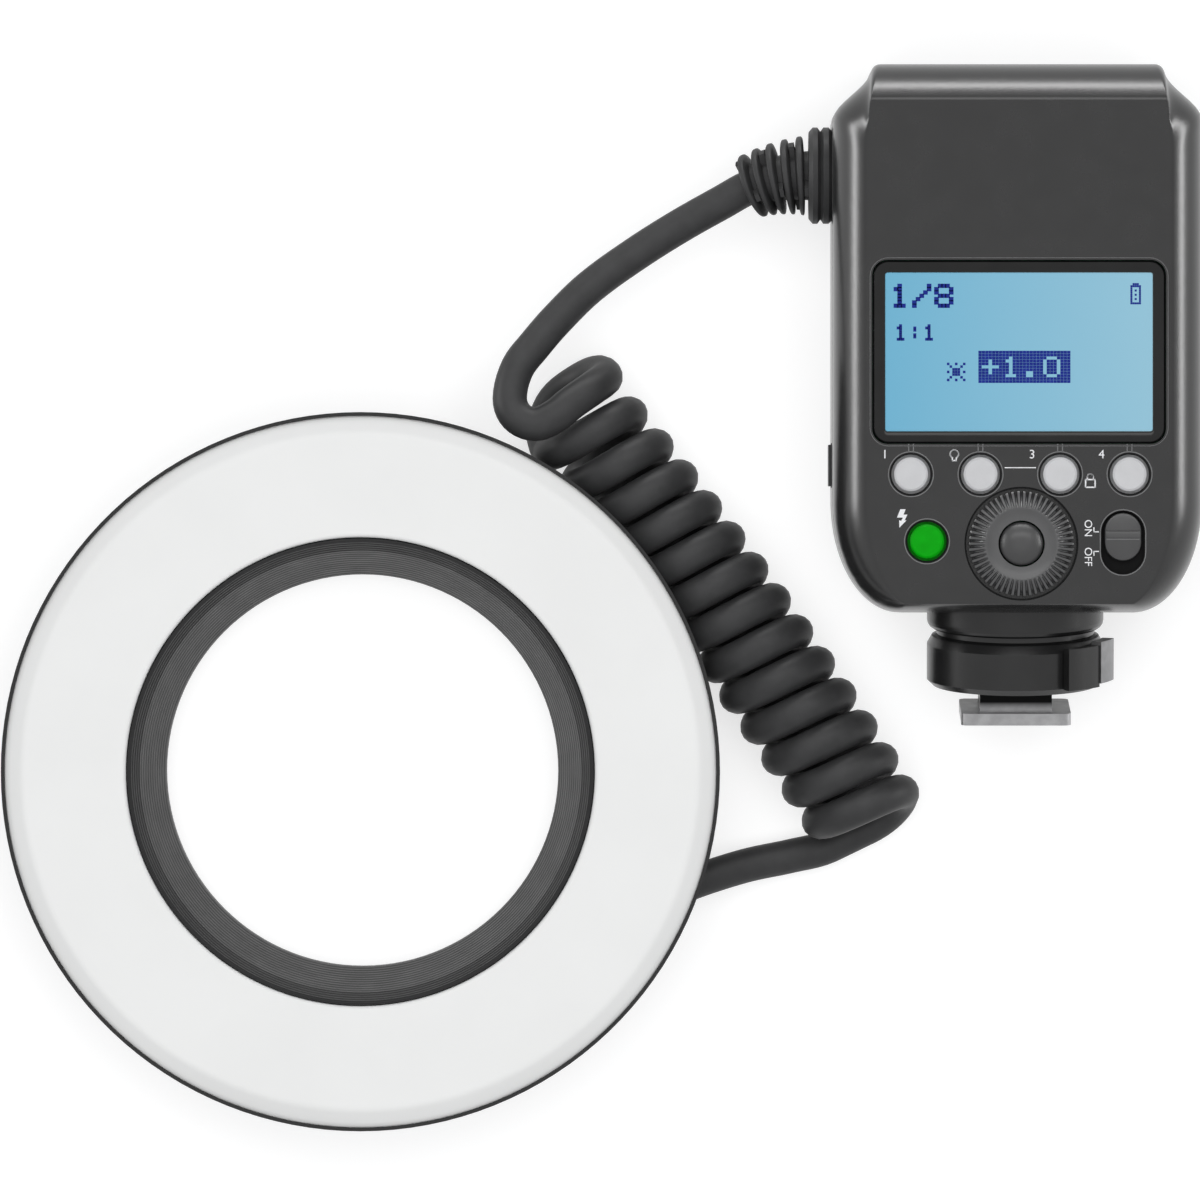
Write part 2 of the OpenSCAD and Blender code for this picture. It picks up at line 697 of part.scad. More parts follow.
module foot_screws() color("gray") at_foot() for (p = foot_screw_places) translate([p.x, p.y, 0]) {
    translate([0, 0, foot_screw_high]) cylinder(r = foot_screw_r, h = shoe_low - 0.5 - foot_screw_high);
    translate([0, 0, shoe_low - foot_screw_head_t - 0.05]) difference() {
        cylinder(r = foot_screw_head_r, h = foot_screw_head_t);
        translate([-0.2, -1, 0.5]) cube([0.4, 2, 1]);
    }
}

module ring_sector(from, to, r_in, r_out, low, high) translate([0, 0, low]) rotate(from)
    rotate_extrude(angle = to - from) translate([r_in, 0]) square([r_out - r_in, high - low]);

module lock_lever() color([0.1, 0.1, 0.11]) at_foot() {
    ring_sector(lever_from, lever_to, collar_r + slide_gap, collar_r + lever_out, lever_high, lever_low);
    ring_sector(lever_from + 6, lever_to - 8, arm_in_r, collar_r + lever_out / 2, arm_high, arm_high + arm_t);
}

module lever_plate() color("silver") at_foot() ring_sector(
    plate_from, lever_from, collar_r + slide_gap, collar_r + lever_out + 0.3,
    lever_high - 0.6, lever_low - 0.6
);

module lock_pin() color("silver") at_foot() translate([0, pin_y, pin_high])
    cylinder(r = pin_r, h = shoe_low - pin_high);

module shoe_contacts() color("gold") at_foot() for (p = contact_places)
    translate([p.x, p.y, contact_high]) cylinder(r = contact_r, h = shoe_low + contact_proud - contact_high);

// Cord and its strain reliefs
gland_face = unit_x - side_x(boot_y);
boot_root = [gland_face - gland_len, unit_y + boot_y, boot_z];
function boot_point(q) = boot_root + boot_turn_r * ([-sin(q), 0, 0] + (1 - cos(q)) * boot_side);
function boot_way(q) = [-cos(q), 0, 0] + sin(q) * boot_side;

module cord_gland() color([0.1, 0.1, 0.11]) translate([gland_face, unit_y + boot_y, boot_z])
    rotate([0, -90, 0]) rotate_extrude() polygon([
        [0, -wall - gland_inside], [gland_neck_r + 1.6, -wall - gland_inside],
        [gland_neck_r + 1.6, -wall - 0.1], [gland_neck_r, -wall - 0.1], [gland_neck_r, 0],
        [gland_r - 0.5, 0], [gland_r, 0.5], [gland_r, 1.4], [gland_r - 0.7, 1.9], [gland_r, 2.4],
        [gland_r, gland_len - 0.7], [gland_r - 0.8, gland_len], [0, gland_len]
    ]);

// Distances along the strain relief, as shares, and radii there: the core with a raised rib at each step
boot_steps = concat([[0, 0]], [for (i = [0:boot_ribs - 1], side = [-1, -0.8, 0.8, 1])
    [(i + 0.62) / (boot_ribs + 0.02) + side * boot_rib_t / 2 / (boot_turn_r * boot_bend * PI / 180),
    abs(side) < 0.9 ? 1 : 0]], [[1, 0]]);

module cord_boot() color([0.1, 0.1, 0.11]) {
    shares = [for (s = boot_steps) clip(s[0])];
    loft(tube_rings(
        [for (s = shares) boot_point(s * boot_bend)], [for (s = shares) boot_way(s * boot_bend)],
        [for (s = shares) squared([0, 0.3, 1], boot_way(s * boot_bend))],
        [for (i = [0:len(shares) - 1]) boot_steps[i][1] == 1
            ? mix(boot_rib_r[0], boot_rib_r[1], shares[i]) : mix(boot_core_r[0], boot_core_r[1], shares[i])],
        18
    ));
}

// Curls: a left-handed helix about a gently bent axis, more open over its first two turns
coil_r = (coil_d - cord_d) / 2;
function coil_run(k) = coil_pitch * k + coil_opening * (1 - exp(-k));
function coil_share(k) = coil_run(k) / coil_run(coil_turns);
function axis_xy(k) = let (t = coil_share(k), s = 1 - t)
    coil_axis[0] * s * s + coil_axis[1] * 2 * s * t + coil_axis[2] * t * t;
function axis_way(k) = let (t = coil_share(k))
    unit((coil_axis[1] - coil_axis[0]) * (1 - t) + (coil_axis[2] - coil_axis[1]) * t);
function curl_point(k) = let (xy = axis_xy(k), side = turned(axis_way(k), 90), q = 90 - 360 * k)
    [xy.x + coil_r * cos(q) * side.x, xy.y + coil_r * cos(q) * side.y, coil_z + coil_r * sin(q)];
function curl_way(k) = unit(curl_point(k + 0.01) - curl_point(k - 0.01));
curls = [for (i = [0:(coil_turns - coil_start) * curl_rings]) curl_point(coil_start + i / curl_rings)];
loop_line = through(
    concat(loop_points, [curl_point(coil_start)]),
    unit(loop_points[1] - loop_points[0]), curl_way(coil_start), loop_rings
);
way_out = unit(coil_run_out[1] - coil_run_out[0]);
bend_out = [
    curl_point(coil_turns), curl_point(coil_turns) + curl_way(coil_turns) * coil_reach_out[0],
    coil_run_out[0] - way_out * coil_reach_out[1], coil_run_out[0]
];
coil_line = concat(
    loop_line, curls, [for (i = [1:bend_rings]) bezier(bend_out, i / bend_rings)], [coil_run_out[1]]
);
boot_tip = boot_point(boot_bend);
lead_line = concat([boot_tip], [for (i = [0:len(lead_points) - 1])
    lead_points[i] + (boot_tip - lead_root) * (1 - (i + 1) / len(lead_points))]);
ring_way = [cos(ring_entry_turn), sin(ring_entry_turn), 0];
tail_line = concat(tail_points, [ring_entry + ring_gland_tip * ring_way]);
cord_line = concat(lead_line, coil_line, tail_line);
ways_inside = tangents(cord_line);
cord_ways = [for (i = [0:len(cord_line) - 1])
    i == 0 ? boot_way(boot_bend) : i == len(cord_line) - 1 ? -ring_way : ways_inside[i]];
cord_normals = normals(cord_ways);
coil_first = len(lead_line);
coil_last = coil_first + len(coil_line) - 1;

module cord_stretch(from, to, sides) color([0.14, 0.14, 0.15]) {
    part = [from:to];
    loft(tube_rings(
        [for (i = part) cord_line[i]], [for (i = part) cord_ways[i]], [for (i = part) cord_normals[i]],
        [for (i = part) cord_d / 2], sides
    ));
}

module cord_lead() cord_stretch(0, coil_first, tube_sides);
module cord_coil() cord_stretch(coil_first, coil_last, curl_sides);
module cord_tail() cord_stretch(coil_last, len(cord_line) - 1, tube_sides);

// The least gap between curls: points more than half a curl apart, less the cord's diameter
least_gap = min([for (i = [0:len(coil_line) - 1], j = [i + curl_rings / 2 + 1:1:len(coil_line) - 1])
    norm(coil_line[i] - coil_line[j])]) - cord_d;
cord_length = sum([for (i = [1:len(cord_line) - 1]) norm(cord_line[i] - cord_line[i - 1])]);
echo(least_gap_between_curls = least_gap, cord_length = cord_length);

module at_ring_entry() translate(ring_entry) rotate([0, 90, ring_entry_turn]) children();

module ring_gland() color([0.1, 0.1, 0.11]) at_ring_entry() rotate_extrude() polygon([
    [0, -ring_gland_in], [ring_gland_r, -ring_gland_in], [ring_gland_r, ring_gland_out],
    [cord_d / 2 + 0.4, ring_gland_tip], [0, ring_gland_tip]
]);

// Ring head
module ring_posts(r, low, high) for (i = [0:3]) rotate(ring_post_angle + 90 * i)
    translate([tube_ring_r, 0, low]) cylinder(r = r, h = high - low);

module release_window(turn) rotate(turn)
    translate([back_r - 4 * ring_wall, -release_w / 2 - slide_gap, release_low - slide_gap])
        cube([8 * ring_wall, release_w + 2 * slide_gap, release_h + 2 * slide_gap]);

module ring_housing() color([0.13, 0.13, 0.14]) difference() {
    union() {
        rotate_extrude() polygon([
            [sleeve_out_r + 0.2, 0], [back_r - 1, 0], [back_r, 1], [back_r + 0.3, 10.5],
            [ring_r - 3.8, rim_low - 3.3], [ring_r - 0.1, rim_low], [ring_r, rim_low + 0.5],
            [ring_r, rim_top],
            [ring_r - rim_t, rim_top], [ring_r - rim_t, rim_step], [ring_r - rim_t - 1.2, rim_step],
            [ring_r - 3.4 - ring_wall, rim_low - 2], [back_r - ring_wall + 0.3, 11.2],
            [back_r - ring_wall, back_t], [sleeve_out_r + 0.2, back_t]
        ]);
        ring_posts(ring_post_r, back_t / 2, reflector_low);
    }
    ring_posts(screw_r + screw_gap, -over, reflector_low + over);
    ring_posts(screw_head_r + slide_gap, -over, screw_head_low + screw_head_t);
    for (turn = [0, 180]) release_window(turn);
    at_ring_entry() translate([0, 0, -2 * ring_gland_in])
        cylinder(r = ring_gland_r + run_gap, h = 2 * ring_gland_in + ring_gland_out);
}

module ring_screws() color("silver") {
    ring_posts(screw_r, screw_head_low + 1, reflector_low + reflector_t - 0.2);
    difference() {
        ring_posts(screw_head_r, screw_head_low, screw_head_low + screw_head_t);
        for (i = [0:3], turn = [0, 90]) rotate(ring_post_angle + 90 * i)
            translate([tube_ring_r, 0, 0]) rotate(turn)
                translate([-1.4, -0.25, 0]) cube([2.8, 0.5, screw_head_low + 0.7]);
    }
}

module ring_sleeve() color([0.2, 0.2, 0.21]) rotate_extrude() polygon([
    [bore_r, 0], [sleeve_out_r, 0], [sleeve_out_r, back_t], [sleeve_flange_r, back_t],
    [sleeve_flange_r, back_t + 1.2], [sleeve_out_r, back_t + 1.2], [sleeve_out_r, bore_len + 1],
    [lip_r - 0.5, sleeve_top - 4], [lip_r, sleeve_top - 2.5], [lip_r, sleeve_top],
    [lip_r - 0.7, sleeve_top],
    [lip_r - 0.5 - sleeve_wall, sleeve_top - 3], [bore_r, bore_len]
]);

module ring_diffuser() color([0.95, 0.95, 0.95]) rotate_extrude() polygon([
    [diffuser_in, diffuser_low], [diffuser_in + 1.6, diffuser_low],
    [diffuser_in + 1.7, ring_depth - diffuser_t], [diffuser_out - 2, ring_depth - diffuser_t],
    [diffuser_out - 1.6, diffuser_low], [diffuser_out, diffuser_low], [diffuser_out, ring_depth - 1.3],
    [diffuser_out - 0.8, ring_depth - 0.5], [diffuser_out - 2.8, ring_depth], [diffuser_in + 0.5, ring_depth],
    [diffuser_in, ring_depth - 0.4]
]);

module ring_reflector() color([0.85, 0.85, 0.86]) difference() {
    t = reflector_t;
    rotate_extrude() polygon([
        [trough_in, reflector_low], [trough_out, reflector_low],
        [trough_out + trough_flare + t, reflector_high], [trough_out + trough_flare, reflector_high],
        [trough_out - t, reflector_low + t], [trough_in + t, reflector_low + t],
        [trough_in - 1.4 + t, reflector_high], [trough_in - 1.4, reflector_high]
    ]);
    ring_posts(screw_r + screw_gap, 0, reflector_high);
}

module flash_tube(from) color([0.8, 0.85, 0.9]) translate([0, 0, tube_z]) rotate(from + tube_end)
    rotate_extrude(angle = 180 - 2 * tube_end) translate([tube_ring_r, 0]) circle(d = tube_d);

module tube_clips() color("white") for (q = [tube_end + 4, 176 - tube_end], half = [0, 180])
    rotate(q + half) translate([tube_ring_r - clip_size.x / 2, -clip_size.y / 2, reflector_low + reflector_t])
        cube([clip_size.x, clip_size.y, tube_z - tube_d / 2 - 0.1 - reflector_low - reflector_t]);

module led_board() color([0.9, 0.9, 0.88]) rotate_extrude() translate([trough_in - 2.4, reflector_high])
    square([3.2, led_z - reflector_high]);

module modelling_leds() color([1, 0.95, 0.7]) for (i = [0:led_count - 1]) rotate(360 * i / led_count)
    translate([trough_in - 0.8 - led_w / 2, -led_w / 2, led_z]) cube([led_w, led_w, led_h]);

module trigger_coils() color([0.6, 0.4, 0.2]) for (turn = [90, 270]) rotate(turn)
    translate([tube_ring_r, 0, back_t]) cylinder(r = trigger_r, h = trigger_h);

// Release button: a block through the wall with a wider stop inside
module release_button(turn) color([0.16, 0.16, 0.17]) rotate(turn) {
    translate([back_r - release_in, -release_w / 2, release_low])
        cube([release_in + release_out, release_w, release_h]);
    translate([back_r - ring_wall - 1.2 - release_stop, -release_w / 2 - 1.4, release_low])
        cube([release_stop, release_w + 2.8, release_h]);
}

rear_cover();
front_cover();
display_window();
display_glass();
display_backlight();
main_board();
power_board();
main_capacitor();
transformer();
battery_pack();
battery_bay();
battery_contacts();
tact_switches();
dial_encoder();
slide_switch();
key(key_places[0], key_d, [0.72, 0.72, 0.72]);  // key_1
key(key_places[1], key_d, [0.72, 0.72, 0.72]);  // key_2
key(key_places[2], key_d, [0.72, 0.72, 0.72]);  // key_3
key(key_places[3], key_d, [0.72, 0.72, 0.72]);  // key_4
key(test_place, key_d, [0.05, 0.6, 0.1]);  // test_button
set_button();
control_dial();
power_switch();
port_cover();
usb_socket();
cover_screws();
foot_base();
lock_collar();
shoe_foot();
foot_screws();
lock_lever();
lever_plate();
lock_pin();
shoe_contacts();
cord_gland();
cord_boot();
cord_lead();
cord_coil();
cord_tail();
ring_gland();
ring_housing();
ring_sleeve();
ring_diffuser();
ring_reflector();
flash_tube(0);  // flash_tube_a
flash_tube(180);  // flash_tube_b
tube_clips();
led_board();
modelling_leds();
trigger_coils();
ring_screws();
release_button(180);  // release_left
release_button(0);  // release_right
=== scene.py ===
"""Looks of a macro ring flash: ring head, curly cord and shoe-mount control unit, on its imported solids."""
import json
import math

import bmesh
import bpy
import numpy as np
from mathutils import Matrix, Vector


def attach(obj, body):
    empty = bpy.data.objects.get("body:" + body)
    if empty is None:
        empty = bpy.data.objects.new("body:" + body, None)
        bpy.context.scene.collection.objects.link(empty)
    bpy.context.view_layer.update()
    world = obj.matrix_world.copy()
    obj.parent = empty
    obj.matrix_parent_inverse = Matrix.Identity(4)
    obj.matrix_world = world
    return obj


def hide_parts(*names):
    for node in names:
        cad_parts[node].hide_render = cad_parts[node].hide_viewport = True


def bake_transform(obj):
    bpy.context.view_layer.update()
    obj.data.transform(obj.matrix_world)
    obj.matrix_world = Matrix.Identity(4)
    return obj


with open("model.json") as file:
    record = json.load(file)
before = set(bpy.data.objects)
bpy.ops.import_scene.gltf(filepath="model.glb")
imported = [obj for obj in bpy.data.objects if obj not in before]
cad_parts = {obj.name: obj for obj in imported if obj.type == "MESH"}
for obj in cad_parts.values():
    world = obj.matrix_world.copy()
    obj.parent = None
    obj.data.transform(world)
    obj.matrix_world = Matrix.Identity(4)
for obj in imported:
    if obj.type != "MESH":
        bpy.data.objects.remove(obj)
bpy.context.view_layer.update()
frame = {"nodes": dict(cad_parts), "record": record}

# Lengths below are in millimetres, in the row frame, and become metres when a mesh is made
MM = 0.001
UNIT_X = 111.2
UNIT_Y = 27.0
BODY_D = 44.0

# Camera: far above the middle of the picture, with a long lens
PICTURE_WIDTH = 203.4
PICTURE_HEIGHT_Z = 27.0
LENS = 450.0
SENSOR = 36.0
CAMERA_X = 40.64
CAMERA_Y = 29.12


def make_camera():
    data = bpy.data.cameras.new("camera")
    data.lens = LENS
    data.sensor_width = SENSOR
    data.clip_end = 10.0
    camera = bpy.data.objects.new("camera", data)
    distance = PICTURE_WIDTH * LENS / SENSOR
    camera.location = (CAMERA_X * MM, CAMERA_Y * MM, (distance + PICTURE_HEIGHT_Z) * MM)
    bpy.context.scene.collection.objects.link(camera)
    bpy.context.scene.camera = camera


make_camera()


# Mesh helpers
def new_object(name, verts, faces, smooth_angle=None):
    mesh = bpy.data.meshes.new(name)
    mesh.from_pydata([(v[0] * MM, v[1] * MM, v[2] * MM) for v in verts], [], faces)
    mesh.update()
    obj = bpy.data.objects.new(name, mesh)
    bpy.context.scene.collection.objects.link(obj)
    outward(mesh)
    if smooth_angle is not None:
        smooth(mesh, smooth_angle)
    return obj


def outward(mesh):
    work = bmesh.new()
    work.from_mesh(mesh)
    bmesh.ops.recalc_face_normals(work, faces=work.faces)
    work.to_mesh(mesh)
    work.free()


def smooth(mesh, degrees):
    mesh.polygons.foreach_set("use_smooth", [True] * len(mesh.polygons))
    mesh.set_sharp_from_angle(angle=math.radians(degrees))


def baked(obj):
    """Gives obj the mesh that its modifiers make, and removes them."""
    graph = bpy.context.evaluated_depsgraph_get()
    mesh = bpy.data.meshes.new_from_object(obj.evaluated_get(graph))
    obj.modifiers.clear()
    obj.data = mesh


def cut(obj, cutter):
    change = obj.modifiers.new("cut", "BOOLEAN")
    change.operation = "DIFFERENCE"
    change.solver = "EXACT"
    change.use_self = True
    change.object = cutter
    baked(obj)
    bpy.data.objects.remove(cutter)


def joined(name, parts, smooth_angle=None):
    """One object from a list of (verts, faces)."""
    verts = []
    faces = []
    for part_verts, part_faces in parts:
        start = len(verts)
        verts.extend(part_verts)
        faces.extend([tuple(i + start for i in face) for face in part_faces])
    return new_object(name, verts, faces, smooth_angle)


def box(low, high):
    verts = [(x, y, z) for z in (low[2], high[2]) for y in (low[1], high[1]) for x in (low[0], high[0])]
    faces = [(0, 2, 3, 1), (4, 5, 7, 6), (0, 1, 5, 4), (2, 6, 7, 3), (0, 4, 6, 2), (1, 3, 7, 5)]
    return verts, faces


def lathe(profile, centre, steps=96, closed=True):
    """Turns a list of (radius, z) about the vertical line through centre; radius 0 gives a pole."""
    verts = []
    rings = []
    for radius, z in profile:
        if radius < 1e-6:
            rings.append([len(verts)])
            verts.append((centre[0], centre[1], z))
            continue
        rings.append(list(range(len(verts), len(verts) + steps)))
        for k in range(steps):
            q = 2 * math.pi * k / steps
            verts.append((centre[0] + radius * math.cos(q), centre[1] + radius * math.sin(q), z))
    faces = []
    pairs = list(zip(rings, rings[1:] + rings[:1])) if closed else list(zip(rings, rings[1:]))
    for a, b in pairs:
        for k in range(steps):
            n = (k + 1) % steps
            if len(a) == 1 and len(b) == 1:
                break
            if len(a) == 1:
                faces.append((a[0], b[k], b[n]))
            elif len(b) == 1:
                faces.append((a[k], b[0], a[n]))
            else:
                faces.append((a[k], b[k], b[n], a[n]))
    return verts, faces


def prism(outline, low, high):
    """Upright prism on an outline of (x, y)."""
    n = len(outline)
    verts = [(x, y, low) for x, y in outline] + [(x, y, high) for x, y in outline]
    faces = [tuple(range(n - 1, -1, -1)), tuple(range(n, 2 * n))]
    faces += [(i, (i + 1) % n, n + (i + 1) % n, n + i) for i in range(n)]
    return verts, faces


def round_box_outline(centre, width, height, radius, steps=8):
    points = []
    for sx, sy, start in ((1, 1, 0), (-1, 1, 90), (-1, -1, 180), (1, -1, 270)):
        for i in range(steps + 1):
            q = math.radians(start + 90 * i / steps)
            points.append((centre[0] + sx * (width / 2 - radius) + radius * math.cos(q),
                           centre[1] + sy * (height / 2 - radius) + radius * math.sin(q)))
    return points


def loft_shell(outer, inner):
    """Closed shell from two stacks of rings that start at one open rim."""
    n = len(outer[0])
    verts = [p for ring in outer + inner for p in ring]
    faces = []
    for stack, start in ((outer, 0), (inner, len(outer) * n)):
        for k in range(len(stack) - 1):
            for i in range(n):
                a = start + k * n + i
                b = start + k * n + (i + 1) % n
                faces.append((a, b, b + n, a + n))
        last = start + (len(stack) - 1) * n
        faces.append(tuple(range(last, last + n)))
    rim = len(outer) * n
    for i in range(n):
        faces.append((i, (i + 1) % n, rim + (i + 1) % n, rim + i))
    return verts, faces


# Cord route: the coil as in the part's source, the first curl and the tail closer to the picture
CORD_D = 5.9
COIL_R = 7.35
COIL_TURNS = 13.25
COIL_PITCH = 6.5
COIL_OPENING = 2.3
COIL_Z = 10.4
COIL_AXIS = [np.array(p) for p in ((33.9, 63.7), (62.7, 29.9), (85.9, -7.5))]
COIL_START = 0.75
RUN_OUT = [np.array(p) for p in ((86.4, -9.8, 3.05), (80.0, -12.9, 3.05))]
REACH_OUT = 5.0
LEAD = [(61.7, 97, 15.4), (54.2, 92.8, 14.4), (46.6, 88, 14.2), (38.9, 82.4, 14.7), (33.2, 76.8, 15.8),
        (29.6, 72.6, 17)]
LOOP = [(26.6, 68.6, 18.4), (25.3, 63.4, 19.8), (26.5, 60.3, 20.7), (29.5, 59, 21.3), (32.7, 60.2, 21.4),
        (36, 62.8, 20.4), (39.4, 65.2, 18), (41.6, 67, 13.4), (40.2, 68, 8.4), (36.6, 66.4, 4.4),
        (32.8, 63.3, 3.05), (31, 58.8, 4.2), (31.3, 55.6, 7.2)]
TAIL = [(73.2, -14.7, 3.1), (66.4, -16.1, 3.8), (60.5, -17.8, 5.2)]
BOOT_ROOT = np.array((76.1, 101.3, 18.0))
BOOT_TURN_R = 22.0
BOOT_BEND = math.radians(27.4)
BOOT_SIDE = np.array((0, -0.8, -0.6))
RING_ENTRY = np.array((46.5, -23.3, 6.4))
RING_ENTRY_TURN = math.radians(22.6)
RING_GLAND_TIP = 9.5
RINGS_A_CURL = 24
LINE_STEPS = 5
BEND_OUT_STEPS = 14
RUN_OUT_STEPS = 3
WAY_STEP = 0.01
TUBE_SIDES = 16
FIRST_ACROSS = np.array((0, 0.3, 1.0))


def unit(v):
    return v / np.linalg.norm(v)


def coil_run(k):
    return COIL_PITCH * k + COIL_OPENING * (1 - math.exp(-k))


def curl_point(k):
    t = coil_run(k) / coil_run(COIL_TURNS)
    s = 1 - t
    xy = COIL_AXIS[0] * s * s + COIL_AXIS[1] * 2 * s * t + COIL_AXIS[2] * t * t
    way = unit((COIL_AXIS[1] - COIL_AXIS[0]) * s + (COIL_AXIS[2] - COIL_AXIS[1]) * t)
    q = math.radians(90 - 360 * k)
    side = np.array((-way[1], way[0])) * COIL_R * math.cos(q)
    return np.array((xy[0] + side[0], xy[1] + side[1], COIL_Z + COIL_R * math.sin(q)))


def curl_way(k):
    return unit(curl_point(k + WAY_STEP) - curl_point(k - WAY_STEP))


def bezier(p, t):
    s = 1 - t
    return p[0] * s ** 3 + p[1] * 3 * s * s * t + p[2] * 3 * s * t * t + p[3] * t ** 3


def boot_point(q):
    return BOOT_ROOT + BOOT_TURN_R * (np.array((-math.sin(q), 0, 0)) + (1 - math.cos(q)) * BOOT_SIDE)


def boot_way(q):
    return np.array((-math.cos(q), 0, 0)) + math.sin(q) * BOOT_SIDE


def through(points, first_way, last_way, steps):
    """Smooth line through points that leaves and ends along the given ways."""
    points = [np.array(p, float) for p in points]
    ways = [first_way]
    for i in range(1, len(points) - 1):
        ways.append(unit(points[i + 1] - points[i - 1]))
    ways.append(last_way)
    line = []
    for i in range(len(points) - 1):
        reach = np.linalg.norm(points[i + 1] - points[i]) / 3
        p = [points[i], points[i] + ways[i] * reach, points[i + 1] - ways[i + 1] * reach, points[i + 1]]
        line.extend(bezier(p, k / steps) for k in range(steps))
    return line


def cord_line():
    way_in = unit(np.array(LOOP[1]) - np.array(LEAD[-1]))
    way_out = unit(RUN_OUT[1] - RUN_OUT[0])
    ring_way = np.array((math.cos(RING_ENTRY_TURN), math.sin(RING_ENTRY_TURN), 0))
    start = boot_point(BOOT_BEND)
    end = RING_ENTRY + RING_GLAND_TIP * ring_way
    line = through([start] + LEAD + [LOOP[0]], boot_way(BOOT_BEND), way_in, LINE_STEPS)
    line += through(LOOP + [curl_point(COIL_START)], way_in, curl_way(COIL_START), LINE_STEPS)
    rings = int((COIL_TURNS - COIL_START) * RINGS_A_CURL)
    line += [curl_point(COIL_START + k / RINGS_A_CURL) for k in range(rings)]
    last = curl_point(COIL_TURNS)
    bend = [last, last + curl_way(COIL_TURNS) * REACH_OUT, RUN_OUT[0] - way_out * REACH_OUT, RUN_OUT[0]]
    line += [bezier(bend, k / BEND_OUT_STEPS) for k in range(BEND_OUT_STEPS)]
    line += [RUN_OUT[0] + (RUN_OUT[1] - RUN_OUT[0]) * k / RUN_OUT_STEPS for k in range(RUN_OUT_STEPS)]
    line += through([RUN_OUT[1]] + TAIL + [end], way_out, -ring_way, LINE_STEPS)
    return line + [end]


def tube_frames(points):
    ways = [unit(points[min(i + 1, len(points) - 1)] - points[max(i - 1, 0)]) for i in range(len(points))]
    across = FIRST_ACROSS
    frames = []
    for way in ways:
        across = unit(across - way * np.dot(across, way))
        frames.append((across, np.cross(way, across)))
    return frames


def swept(points, frames, radius_at, sides):
    """Closed tube: radius_at(i, angle) gives its radius at ring i."""
    verts = []
    for i, (point, (n, b)) in enumerate(zip(points, frames)):
        for k in range(sides):
            q = 2 * math.pi * k / sides
            verts.append(point + radius_at(i, q) * (n * math.cos(q) + b * math.sin(q)))
    faces = [tuple(range(sides - 1, -1, -1)), tuple(range(len(verts) - sides, len(verts)))]
    for i in range(len(points) - 1):
        for k in range(sides):
            n = (k + 1) % sides
            faces.append((i * sides + k, i * sides + n, (i + 1) * sides + n, (i + 1) * sides + k))
    return verts, faces


CORD_POINTS = cord_line()
CORD_MESH = swept(CORD_POINTS, tube_frames(CORD_POINTS), lambda i, q: CORD_D / 2, TUBE_SIDES)
cord = new_object("curly_cord", *CORD_MESH, smooth_angle=60)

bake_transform(cord)
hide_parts("cord_lead", "cord_coil", "cord_tail")


# Procedural materials
def surface(name, low, high, rough, patch=220.0, grain=2600.0, bump=0.12, metallic=0.0, coat=0.0, spread=0.08,
            sheen=0.5):
    """Principled surface: colour and gloss vary in soft patches, and a fine grain roughens the normal."""
    mat = bpy.data.materials.new(name)
    mat.use_nodes = True
    nodes = mat.node_tree.nodes
    links = mat.node_tree.links
    shader = nodes["Principled BSDF"]
    shader.inputs["Metallic"].default_value = metallic
    shader.inputs["Specular IOR Level"].default_value = sheen
    shader.inputs["Coat Weight"].default_value = coat
    shader.inputs["Coat Roughness"].default_value = 0.08
    place = nodes.new("ShaderNodeTexCoord")
    soft = nodes.new("ShaderNodeTexNoise")
    soft.inputs["Scale"].default_value = patch
    soft.inputs["Detail"].default_value = 4.0
    links.new(place.outputs["Object"], soft.inputs["Vector"])
    tint = nodes.new("ShaderNodeValToRGB")
    tint.name = "Tint"
    tint.color_ramp.elements[0].position = 0.35
    tint.color_ramp.elements[0].color = (*low, 1.0)
    tint.color_ramp.elements[1].position = 0.65
    tint.color_ramp.elements[1].color = (*high, 1.0)
    links.new(soft.outputs["Fac"], tint.inputs["Fac"])
    links.new(tint.outputs["Color"], shader.inputs["Base Color"])
    gloss = nodes.new("ShaderNodeMapRange")
    gloss.inputs["To Min"].default_value = max(0.03, rough - spread)
    gloss.inputs["To Max"].default_value = min(1.0, rough + spread)
    links.new(soft.outputs["Fac"], gloss.inputs["Value"])
    links.new(gloss.outputs["Result"], shader.inputs["Roughness"])
    fine = nodes.new("ShaderNodeTexNoise")
    fine.inputs["Scale"].default_value = grain
    fine.inputs["Detail"].default_value = 3.0
    links.new(place.outputs["Object"], fine.inputs["Vector"])
    rise = nodes.new("ShaderNodeBump")
    rise.inputs["Strength"].default_value = bump
    rise.inputs["Distance"].default_value = 0.0002
    links.new(fine.outputs["Fac"], rise.inputs["Height"])
    links.new(rise.outputs["Normal"], shader.inputs["Normal"])
    return mat


def grooved(mat, rings_a_metre, depth):
    """Adds fine rings about the row's Z axis to a surface's grain."""
    nodes = mat.node_tree.nodes
    links = mat.node_tree.links
    wave = nodes.new("ShaderNodeTexWave")
    wave.wave_type = "RINGS"
    wave.rings_direction = "Z"
    wave.inputs["Scale"].default_value = rings_a_metre
    place = nodes["Texture Coordinate"]
    links.new(place.outputs["Object"], wave.inputs["Vector"])
    rise = nodes.new("ShaderNodeBump")
    rise.inputs["Strength"].default_value = depth
    rise.inputs["Distance"].default_value = 0.0003
    first = nodes["Bump"]
    links.new(first.outputs["Normal"], rise.inputs["Normal"])
    links.new(wave.outputs["Fac"], rise.inputs["Height"])
    links.new(rise.outputs["Normal"], nodes["Principled BSDF"].inputs["Normal"])
    return mat


# Places along Y, in metres, between which the foot's steel neck turns from bare to a painted dark reflection
# of the collar
NECK_LOW = 0.0105
NECK_HIGH = 0.0118
NECK_REFLECTION_DARK = 0.006


